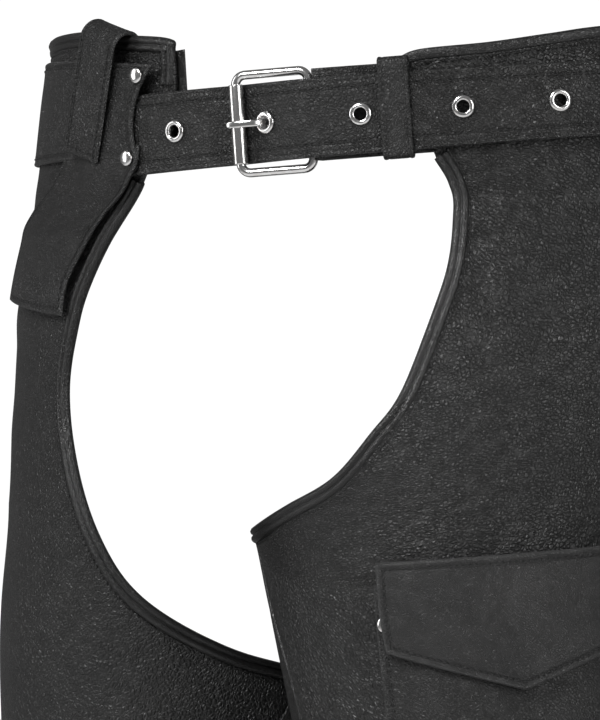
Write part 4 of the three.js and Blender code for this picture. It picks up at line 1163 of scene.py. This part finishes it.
seated("strap_rivets", dome(RIVET_RADIUS, 2),
       [(waist_point(-a, z, band_outer(a) + 0.3), waist_normal(-a)) for a, z in STRAP_RIVETS],
       ["strap_rivet_upper", "strap_rivet_lower"])


# ---- Right hip: band, loop and patch --------------------------------------------------------
BAND_LENGTH = 175
BAND_HEIGHT = 50


def band_top(a):
    return read([[23.6, 35], [52, 43.5], [70, 45], [94, 41]], a)


def band_bottom(a):
    return read([[28, -12.6], [50, -8.7], [94, -8]], a)


def band_place(u, v, more):
    angle = lerp(lerp(23.6, 28, v) + 11.6 * v * (1 - v), 94, u)
    return waist_point(-angle, lerp(band_top(angle), band_bottom(angle), v), band_outer(angle) + more)


def right_hip():
    def lift(u, v):
        """The band is drawn in along its bowed front edge and at the two rivets."""
        angle = lerp(25, 94, u)
        z = lerp(36, -12, v)
        low = -0.5 * np.exp(-(((angle - 33) * 2.7 / 11) ** 2) - (((z - 12) / 17) ** 2))
        for x, y in STRAP_RIVETS:
            low -= 0.55 * np.exp(-((((angle - x) * 2.6) ** 2 + (z - y) ** 2) / 60))
        return low

    band = rolled_leaf("right_hip_band_sewn", band_place, spread(110, BAND_LENGTH), spread(26, BAND_HEIGHT),
                       LEATHER, ["left", "top", "bottom"], lift=lift)
    finish(band, BAND_HIDE, nodes=["right_hip_band"])
    # The lower edge is only stitched behind the loop: ahead of it, the band runs on into the patch.
    for v, first in ((SEWN_INSET / BAND_HEIGHT, 0.02), (1 - SEWN_INSET / BAND_HEIGHT, 0.2)):
        seams.run(band_place, np.linspace(first, 0.985, 240), v, band)
    seams.run(band_place, 4.2 / BAND_LENGTH, np.linspace(0.09, 0.91, 60), band)


# The patch's rows: [share down it, front and rear angles, front and rear heights, how far it stands
# out with the band above it, from 1 to 0].
PATCH = [
    [0, 28.1, 51, -5, -2, 1], [0.09, 28.3, 52, -13.2, -9.8, 1], [0.17, 30, 55, -21, -17, 1],
    [0.26, 32.4, 58, -29.5, -24.5, 0.5], [0.35, 36.2, 62, -39, -32, 0], [0.55, 38.2, 70, -50, -44, 0],
    [0.78, 38.9, 71, -68, -60, 0], [1, 36, 66, -89, -78, 0],
]
PATCH_HEIGHT = 83
PATCH_WIDTH = 85
PATCH_OFFSET = 6.2


def patch_place(u, v, more):
    start, end, z0, z1, proud = np.moveaxis(smooth_at(PATCH, v), -1, 0)
    angle = lerp(start, end, u)
    # Its top slips in under the band.
    sunk = 0.4 - 1.5 * (1 - smoothstep(v, 0, 0.13))
    outer = lerp(PATCH_OFFSET, band_outer(angle) + sunk, proud)
    return leg_point(RIGHT, angle, lerp(z0, z1, u), outer + more)


def hip_patch():
    us, vs = spread(30, PATCH_WIDTH), spread(34, PATCH_HEIGHT)
    patch = rolled_leaf("right_hip_patch_sewn", patch_place, us, vs, LEATHER, ["left", "right", "bottom"])
    finish(patch, BAND_HIDE, nodes=["right_hip_patch"])
    for u in (SEWN_INSET / PATCH_WIDTH, 1 - SEWN_INSET / PATCH_WIDTH):
        seams.run(patch_place, u, np.linspace(0.13, 0.95, 80), patch)
    seams.run(patch_place, np.linspace(0.05, 0.95, 90), 1 - SEWN_INSET / PATCH_HEIGHT, patch)


right_hip()
hip_patch()


def loop_frame(foot_angle, head_angle, head_z):
    """A hip loop's frame: its middle, and its across, outward and upward directions."""
    middle_angle = (foot_angle + head_angle) / 2
    foot, head = waist_point(foot_angle, head_z - 74), waist_point(head_angle, head_z)
    out = waist_normal(middle_angle)
    across = unit(np.cross(head - foot, out))
    up = unit(np.cross(out, across))
    return waist_point(middle_angle, head_z - 37), across, out, up


def hip_loop(name, offset, place):
    """A strip that hooks over the waist's top edge, with turned edges and a boxed foot."""
    middle, across, out, up = place
    foot, top, inner, thickness = -31, 39, -7, 2.2
    outer = offset + thickness
    bend = (outer - inner + thickness) / 2
    turn = np.linspace(0, math.pi, 17)[1:-1]
    centre = (outer + inner - thickness) / 2
    line = [[foot, outer - 0.9], [foot + 1.2, outer]]
    line += [[z, outer] for z in np.linspace(foot + 3, top - bend - 1, 26)]
    line += [[top - bend + bend * math.sin(t), centre + bend * math.cos(t)] for t in turn]
    line += [[z, inner - thickness] for z in np.linspace(top - bend - 1, 14, 8)]
    line = np.array(line, float)
    tangent = unit(np.gradient(line, axis=0))
    normal = np.stack([-tangent[:, 1], tangent[:, 0]], -1)
    if normal[4] @ np.array([0, 1]) < 0:
        normal = -normal
    width = spread(8, 28)
    s = (width - 0.5) * 28
    edge = 14 - np.abs(s)
    rise = np.interp(edge, *np.array(ROLLED).T)
    under = np.interp(edge, [0, 0.5, 1.1], [1.1, 0.25, 0])

    def lay(depth):
        spots = line[:, None] + normal[:, None] * depth[None, :, None]
        return middle + across * s[None, :, None] + up * spots[..., :1] + out * spots[..., 1:]

    outer_grid, inner_grid = lay(rise), lay(-(thickness - under))
    ends = edge_map(outer_grid, ["left", "right", "top"])
    piece = leaf(name + "_sewn", outer_grid, inner_grid, ends)
    finish(piece, BAND_HIDE, nodes=[name])
    z = np.linspace(foot + 3, top - bend, 60)
    for side in (-1, 1):
        path = middle + across * side * 10.6 + up * z[:, None] + out * outer
        seams.add(path, np.tile(out, (60, 1)), piece)
    for low, high in (((-10.6, 3), (10.6, 3)), ((-10.6, 14), (10.6, 14)), ((-10.6, 4), (10.6, 13))):
        t = np.linspace(0, 1, 24)[:, None]
        aside, above = lerp(low[0], high[0], t), foot + lerp(low[1], high[1], t)
        seams.add(middle + across * aside + up * above + out * outer, np.tile(out, (24, 1)), piece)


hip_loop("right_hip_loop", 8.2, loop_frame(-43.2, -34.8, 58))
hip_loop("left_hip_loop", 3.6, loop_frame(86.5, 86.5, 41))
waist_leaf("left_hip_band", 79, 94, 20, level(31), level(-9), level(2.8), LEATHER,
           ["top", "bottom", "left", "right"], BAND_HIDE, ["left_hip_band"])


# ---- Buckle --------------------------------------------------------------------------------
roller_centre = waist_point(ROLLER_ANGLE, 0, strap_offset(ROLLER_ANGLE) + 0.3 + ROLLER_RADIUS)
pivot_centre = waist_point(PIVOT_ANGLE, 0, strap_offset(PIVOT_ANGLE) - STRAP_THICKNESS - 3.2 - WIRE / 2)
to_roller = unit(roller_centre - pivot_centre)
buckle_in = np.cross(to_roller, [0.0, 0.0, 1.0])
REACH = float(np.linalg.norm(roller_centre - pivot_centre))
BUCKLE = np.eye(4)
BUCKLE[:3, 0], BUCKLE[:3, 1], BUCKLE[:3, 2], BUCKLE[:3, 3] = to_roller, (0, 0, 1), buckle_in, pivot_centre


def rounded_loop(corners, first, corner, arc_points, step):
    """An even closed path round a rectangle with rounded corners, and its outward directions.

    The corners run anticlockwise, and the first one's arc starts at the angle first."""
    corners = np.array(corners, float)
    centres = corners + corner * np.sign(corners.mean(0) - corners)
    loop = []
    for n, (x, y) in enumerate(centres):
        start = first + n * math.pi / 2
        for a in np.linspace(start, start + math.pi / 2, arc_points):
            loop.append([x + corner * math.cos(a), y + corner * math.sin(a), 0])
    path = evenly(np.array(loop + [loop[0]]), step)[:-1]
    ahead = unit(np.roll(path, -1, 0) - np.roll(path, 1, 0))
    return path, np.stack([ahead[:, 1], -ahead[:, 0], ahead[:, 2]], -1)


def round_wire():
    half = 24.6
    corners = [(REACH, -half), (REACH, half), (0, half), (0, -half)]
    path, across = rounded_loop(corners, -math.pi / 2, 5.0, 12, 0.9)
    a = np.linspace(0, 2 * math.pi, 20, endpoint=False)
    profile = np.stack([WIRE / 2 * np.cos(a), WIRE / 2 * np.sin(a)], -1)
    piece = sweep("buckle_wire", path, across, np.tile([0.0, 0.0, 1.0], (len(path), 1)), profile, True)
    move(piece, BUCKLE.tolist())
    return finish(piece, NICKEL, nodes=["buckle_frame"])


def roller():
    bore, wall = WIRE / 2 + TURNING_ROOM, ROLLER_RADIUS
    end = [[wall, 19.5], [wall - 0.08, 19.85], [wall - 0.35, 20], [bore, 20]]
    profile = [[r, -z] for r, z in end[::-1]] + end
    piece = turned("buckle_roller_tube", profile, 64)
    upright = Matrix.Translation((REACH, 0, 0)) @ Matrix.Rotation(-math.pi / 2, 4, "X")
    move(piece, (Matrix(BUCKLE.tolist()) @ upright))
    piece.data.set_sharp_from_angle(angle=math.radians(50))
    return finish(piece, NICKEL, "buckle_roller", ["buckle_roller"])


def prong():
    """A flattened tongue that springs from its eye, up through an eyelet and over the roller."""
    bar = WIRE / 2
    line = [[bar + 1.4, 0.8], [19.2, 3.5], [27, -3.2], [31, -4.9], [REACH, -5], [REACH + 5, -3.4]]
    line = spline(line, np.linspace(0, 1, 70))
    tangent = unit(np.gradient(line, axis=0))
    normal = np.stack([-tangent[:, 1], tangent[:, 0]], -1)
    a = np.linspace(0, 2 * math.pi, 20, endpoint=False)
    ring = np.stack([1.8 * np.sign(np.cos(a)) * np.abs(np.cos(a)) ** 0.7,
                     0.75 * np.sign(np.sin(a)) * np.abs(np.sin(a)) ** 0.8], -1)
    narrow = np.interp(np.linspace(0, 1, 70), [0, 0.93, 0.985, 1], [1, 0.95, 0.75, 0.35])[:, None]
    points = np.empty((70, 20, 3))
    points[..., 0] = line[:, :1] + normal[:, :1] * ring[None, :, 1] * narrow
    points[..., 1] = ring[None, :, 0] * narrow
    points[..., 2] = line[:, 1:] + normal[:, 1:] * ring[None, :, 1] * narrow
    tongue = mesh_object("tongue", points, tube_faces(70, 20))
    inner, outer = bar + TURNING_ROOM, bar + 2.6
    eye = turned("eye", [[inner, -1.5], [inner + 0.3, -1.8], [outer - 0.3, -1.8], [outer, -1.5], [outer, 1.5],
                         [outer - 0.3, 1.8], [inner + 0.3, 1.8], [inner, 1.5]], 40)
    eye.data.transform(Matrix.Rotation(math.pi / 2, 4, "X"))
    piece = joined("buckle_tongue", [tongue, eye])
    piece.data.polygons.foreach_set("use_smooth", [True] * len(piece.data.polygons))
    move(piece, BUCKLE.tolist())
    return finish(piece, NICKEL, nodes=["buckle_prong"])


round_wire()
roller()
prong()
billet = cad_copy("buckle_billet", "buckle_billet_folded", 0.7)
finish(billet, FOLDED_HIDE, nodes=["buckle_billet"])


def keeper():
    """A flat leather ring round the strap, with turned edges and two stitch lines."""
    outer_face = float(strap_offset(KEEPER_ANGLE))
    inside, outside = outer_face - STRAP_THICKNESS - 0.7, outer_face + 0.7
    low, high, thickness = -21.9, 25.7, 1.8
    corners = [(high, outside), (low, outside), (low, inside), (high, inside)]
    flat, out = rounded_loop(corners, 0, 1.6, 8, 0.7)
    normal = waist_normal(KEEPER_ANGLE)
    along = np.cross([0.0, 0.0, 1.0], normal)
    origin = waist_point(KEEPER_ANGLE, 0)
    half = 15.5 / 2
    side = np.array([7.75, 7.6, 7.2, 6.6, 6.0, 5.2, 4.2, 2.2])
    across = np.concatenate([-side, [0], side[::-1]])
    roll = [[0, -0.9], [0.15, -0.35], [0.55, 0.05], [1.1, 0.2], [1.75, 0.1], [2.5, -0.2], [3.5, 0], [8, 0]]
    top = thickness + np.interp(half - np.abs(across), *np.array(roll).T)
    profile = [[a, t] for a, t in zip(across, top)] + [[7.5, 0.05], [0, 0], [-7.5, 0.05]]
    up = np.array([0, 0, 1.0])
    path = origin + up * flat[:, :1] + normal * flat[:, 1:2]
    outward = up * out[:, :1] + normal * out[:, 1:2]
    piece = sweep("strap_keeper_ring", path, np.tile(along, (len(path), 1)), outward, profile, True)
    finish(piece, BAND_HIDE, nodes=["strap_keeper"])
    z = np.linspace(low + 0.5, high - 0.5, 60)
    for aside in (-5.3, 5.3):
        path = origin + along * aside + normal * (outside + thickness) + up * z[:, None]
        seams.add(path, np.tile(normal, (60, 1)), piece)


keeper()

# ---- Thigh pocket --------------------------------------------------------------------------
POCKET_START = -2.2
POCKET_END = 75
POCKET_TOP = -232
POCKET_WIDTH = 136
POCKET_HEIGHT = 165
FLAP_TOP = -221.5
FLAP_TIP = 33  # the angle of the flap's point


def pocket_low(a):
    return read([[POCKET_START, -392], [6, -400], [66, -400], [POCKET_END, -392]], a)


def flap_low(a):
    """The flap's pointed lower edge, straight on each side of its tip."""
    return np.where(a < FLAP_TIP, lerp(-266, -288, (a - POCKET_START) / (FLAP_TIP - POCKET_START)),
                    lerp(-288, -264, (a - FLAP_TIP) / (POCKET_END - FLAP_TIP)))


def pocket_place(u, v, more):
    angle = lerp(POCKET_START - 1.8 - 6 * v, POCKET_END, u)
    return leg_point(LEFT, angle, lerp(POCKET_TOP, pocket_low(angle), v), 3.7 + more)


def flap_place(u, v, more):
    angle = lerp(POCKET_START, POCKET_END, u)
    return leg_point(LEFT, angle, lerp(FLAP_TOP, flap_low(angle), v), 7.6 + np.sin(np.pi * v) + more)


def pocket():
    def soft(u, v):
        waves = [noise.noise(Vector((a * 4, b * 3, 1.7))) for a, b in zip(u.ravel(), v.ravel())]
        return 0.9 * np.array(waves).reshape(u.shape)

    bag = rolled_leaf("thigh_pocket_sewn", pocket_place, spread(70, POCKET_WIDTH), spread(60, POCKET_HEIGHT),
                      2.0, ["left", "right", "bottom"], lift=soft)
    finish(bag, POCKET_HIDE, nodes=["thigh_pocket"])
    for u in (4.6 / POCKET_WIDTH, 1 - 4.6 / POCKET_WIDTH):
        seams.run(pocket_place, u, np.linspace(0.02, 0.97, 120), bag)
    seams.run(pocket_place, np.linspace(0.04, 0.96, 120), 1 - 4.6 / POCKET_HEIGHT, bag)

    def dimples(u, v):
        """The flap's slack: a soft swell with two pressed hollows near its middle."""
        rise = soft(u, v) * 0.5
        for x, y, wide, deep in ((0.62, 0.62, 0.10, 0.9), (0.5, 0.82, 0.07, 0.6), (0.3, 0.35, 0.2, 0.3)):
            rise = rise - deep * np.exp(-((((u - x) / wide) ** 2 + ((v - y) / (wide * 1.8)) ** 2)))
        return rise

    tip = (FLAP_TIP - POCKET_START) / (POCKET_END - POCKET_START)
    us = np.unique(np.concatenate([spread(90, POCKET_WIDTH), [tip]]))
    flap = rolled_leaf("pocket_flap_leather", flap_place, us, spread(34, 56), 2.0,
                       ["left", "right", "top", "bottom"], lift=dimples)
    flap.data.materials.append(FLAP_HIDE)
    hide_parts("pocket_flap")
    u = np.linspace(0.03, 0.97, 200)
    flap_seams.run(flap_place, u, 3.9 / 52, flap)
    flap_seams.run(flap_place, u, 1 - 4.0 / (FLAP_TOP - flap_low(lerp(POCKET_START, POCKET_END, u))), flap)
    for side in (4.0 / POCKET_WIDTH, 1 - 4.0 / POCKET_WIDTH):
        flap_seams.run(flap_place, side, np.linspace(0.09, 0.9, 60), flap)
    stitches = grown("pocket_flap_stitching", flap_seams.points, flap_seams.outs, flap_seams.chains,
                     STITCHES, Material=THREAD, Thickness=0.00062)
    middle = leg_point(LEFT, 36, FLAP_TOP) * MM
    for piece in (flap, stitches):
        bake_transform(piece)


pocket()
POCKET_RIVET_HEIGHT = -252
rivet_places = []
for angle in (POCKET_START + 0.4, POCKET_END - 0.6):
    spot = leg_point(LEFT, angle, POCKET_RIVET_HEIGHT, 4.0)
    rivet_places.append((spot, unit(leg_point(LEFT, angle, POCKET_RIVET_HEIGHT, 10) - spot)))
seated("pocket_rivets", dome(RIVET_RADIUS, 1.5), rivet_places,
       ["pocket_rivet_front", "pocket_rivet_rear"])

stitching = grown("stitching", seams.points, seams.outs, seams.chains, STITCHES, Material=THREAD,
                  Thickness=0.00066)
finish(stitching, THREAD)

# ---- Room, light and camera ----------------------------------------------------------------
scene = bpy.context.scene
scene.view_settings.view_transform = "Standard"


def floor():
    low = cad_low.z - 0.002
    mesh = bpy.data.meshes.new("floor")
    mesh.from_pydata([(-6, -6, low), (6, -6, low), (6, 6, low), (-6, 6, low)], [], [(0, 1, 2, 3)])
    piece = placed("floor", mesh)
    material, tree, shader = new_material("pale_floor")
    cloud = put(tree, "ShaderNodeTexNoise", {"Scale": 3.0})
    color = mixed(tree, cloud.outputs[0], (0.86, 0.86, 0.86, 1), (0.9, 0.9, 0.9, 1))
    tree.links.new(color, shader.inputs["Base Color"])
    shader.inputs["Roughness"].default_value = 0.8
    mesh.materials.append(material)


def room():
    """A white surround for the view, and a softer one for the light that falls on the leather."""
    world = bpy.data.worlds.new("room")
    scene.world = world
    world.use_nodes = True
    tree = world.node_tree
    seen = tree.nodes["Background"]
    seen.inputs["Color"].default_value = (1, 1, 1, 1)
    seen.inputs["Strength"].default_value = 1.05
    lit = put(tree, "ShaderNodeBackground", {"Color": (1, 1, 1, 1), "Strength": 0.16})
    path = put(tree, "ShaderNodeLightPath")
    mix = put(tree, "ShaderNodeMixShader", {0: path.outputs["Is Camera Ray"]})
    tree.links.new(lit.outputs[0], mix.inputs[1])
    tree.links.new(seen.outputs[0], mix.inputs[2])
    tree.links.new(mix.outputs[0], tree.nodes["World Output"].inputs["Surface"])


def soft_box(name, place, aim, width, height, power):
    light = bpy.data.lights.new(name, "AREA")
    light.shape = "RECTANGLE"
    light.size, light.size_y, light.energy = width, height, power
    piece = placed(name, light)
    piece.location = place
    piece.rotation_mode = "QUATERNION"
    piece.rotation_quaternion = (Vector(aim) - Vector(place)).to_track_quat("-Z", "Y")


CAMERA_TURN = math.radians(22)
CAMERA_DISTANCE = 2.6
VIEW_CENTRE = Vector((-0.0403, -0.0163, -0.120))
TOWARDS = Vector((math.sin(CAMERA_TURN), -math.cos(CAMERA_TURN), 0))


def camera():
    data = bpy.data.cameras.new("camera")
    data.lens = 249
    data.sensor_width = 36
    piece = placed("camera", data)
    piece.location = VIEW_CENTRE + TOWARDS * CAMERA_DISTANCE
    piece.rotation_mode = "QUATERNION"
    level_view = (-TOWARDS).to_track_quat("-Z", "Y")
    piece.rotation_quaternion = level_view @ Matrix.Rotation(math.radians(-4), 3, "Z").to_quaternion()
    data.clip_start, data.clip_end = 0.1, 60
    scene.camera = piece


def lights():
    right = Vector((math.cos(CAMERA_TURN), math.sin(CAMERA_TURN), 0))
    up = Vector((0, 0, 1))
    centre = VIEW_CENTRE
    soft_box("key", centre + TOWARDS * 1.5 - right * 0.9 + up * 1.5, centre, 0.8, 0.8, 50)
    soft_box("fill", centre + TOWARDS * 1.6 + right * 1.6 + up * 0.4, centre, 0.5, 1.3, 20)
    soft_box("side", centre - right * 1.8 + TOWARDS * 0.2 + up * 0.5, centre, 0.6, 1.6, 10)


floor()
room()
camera()
lights()
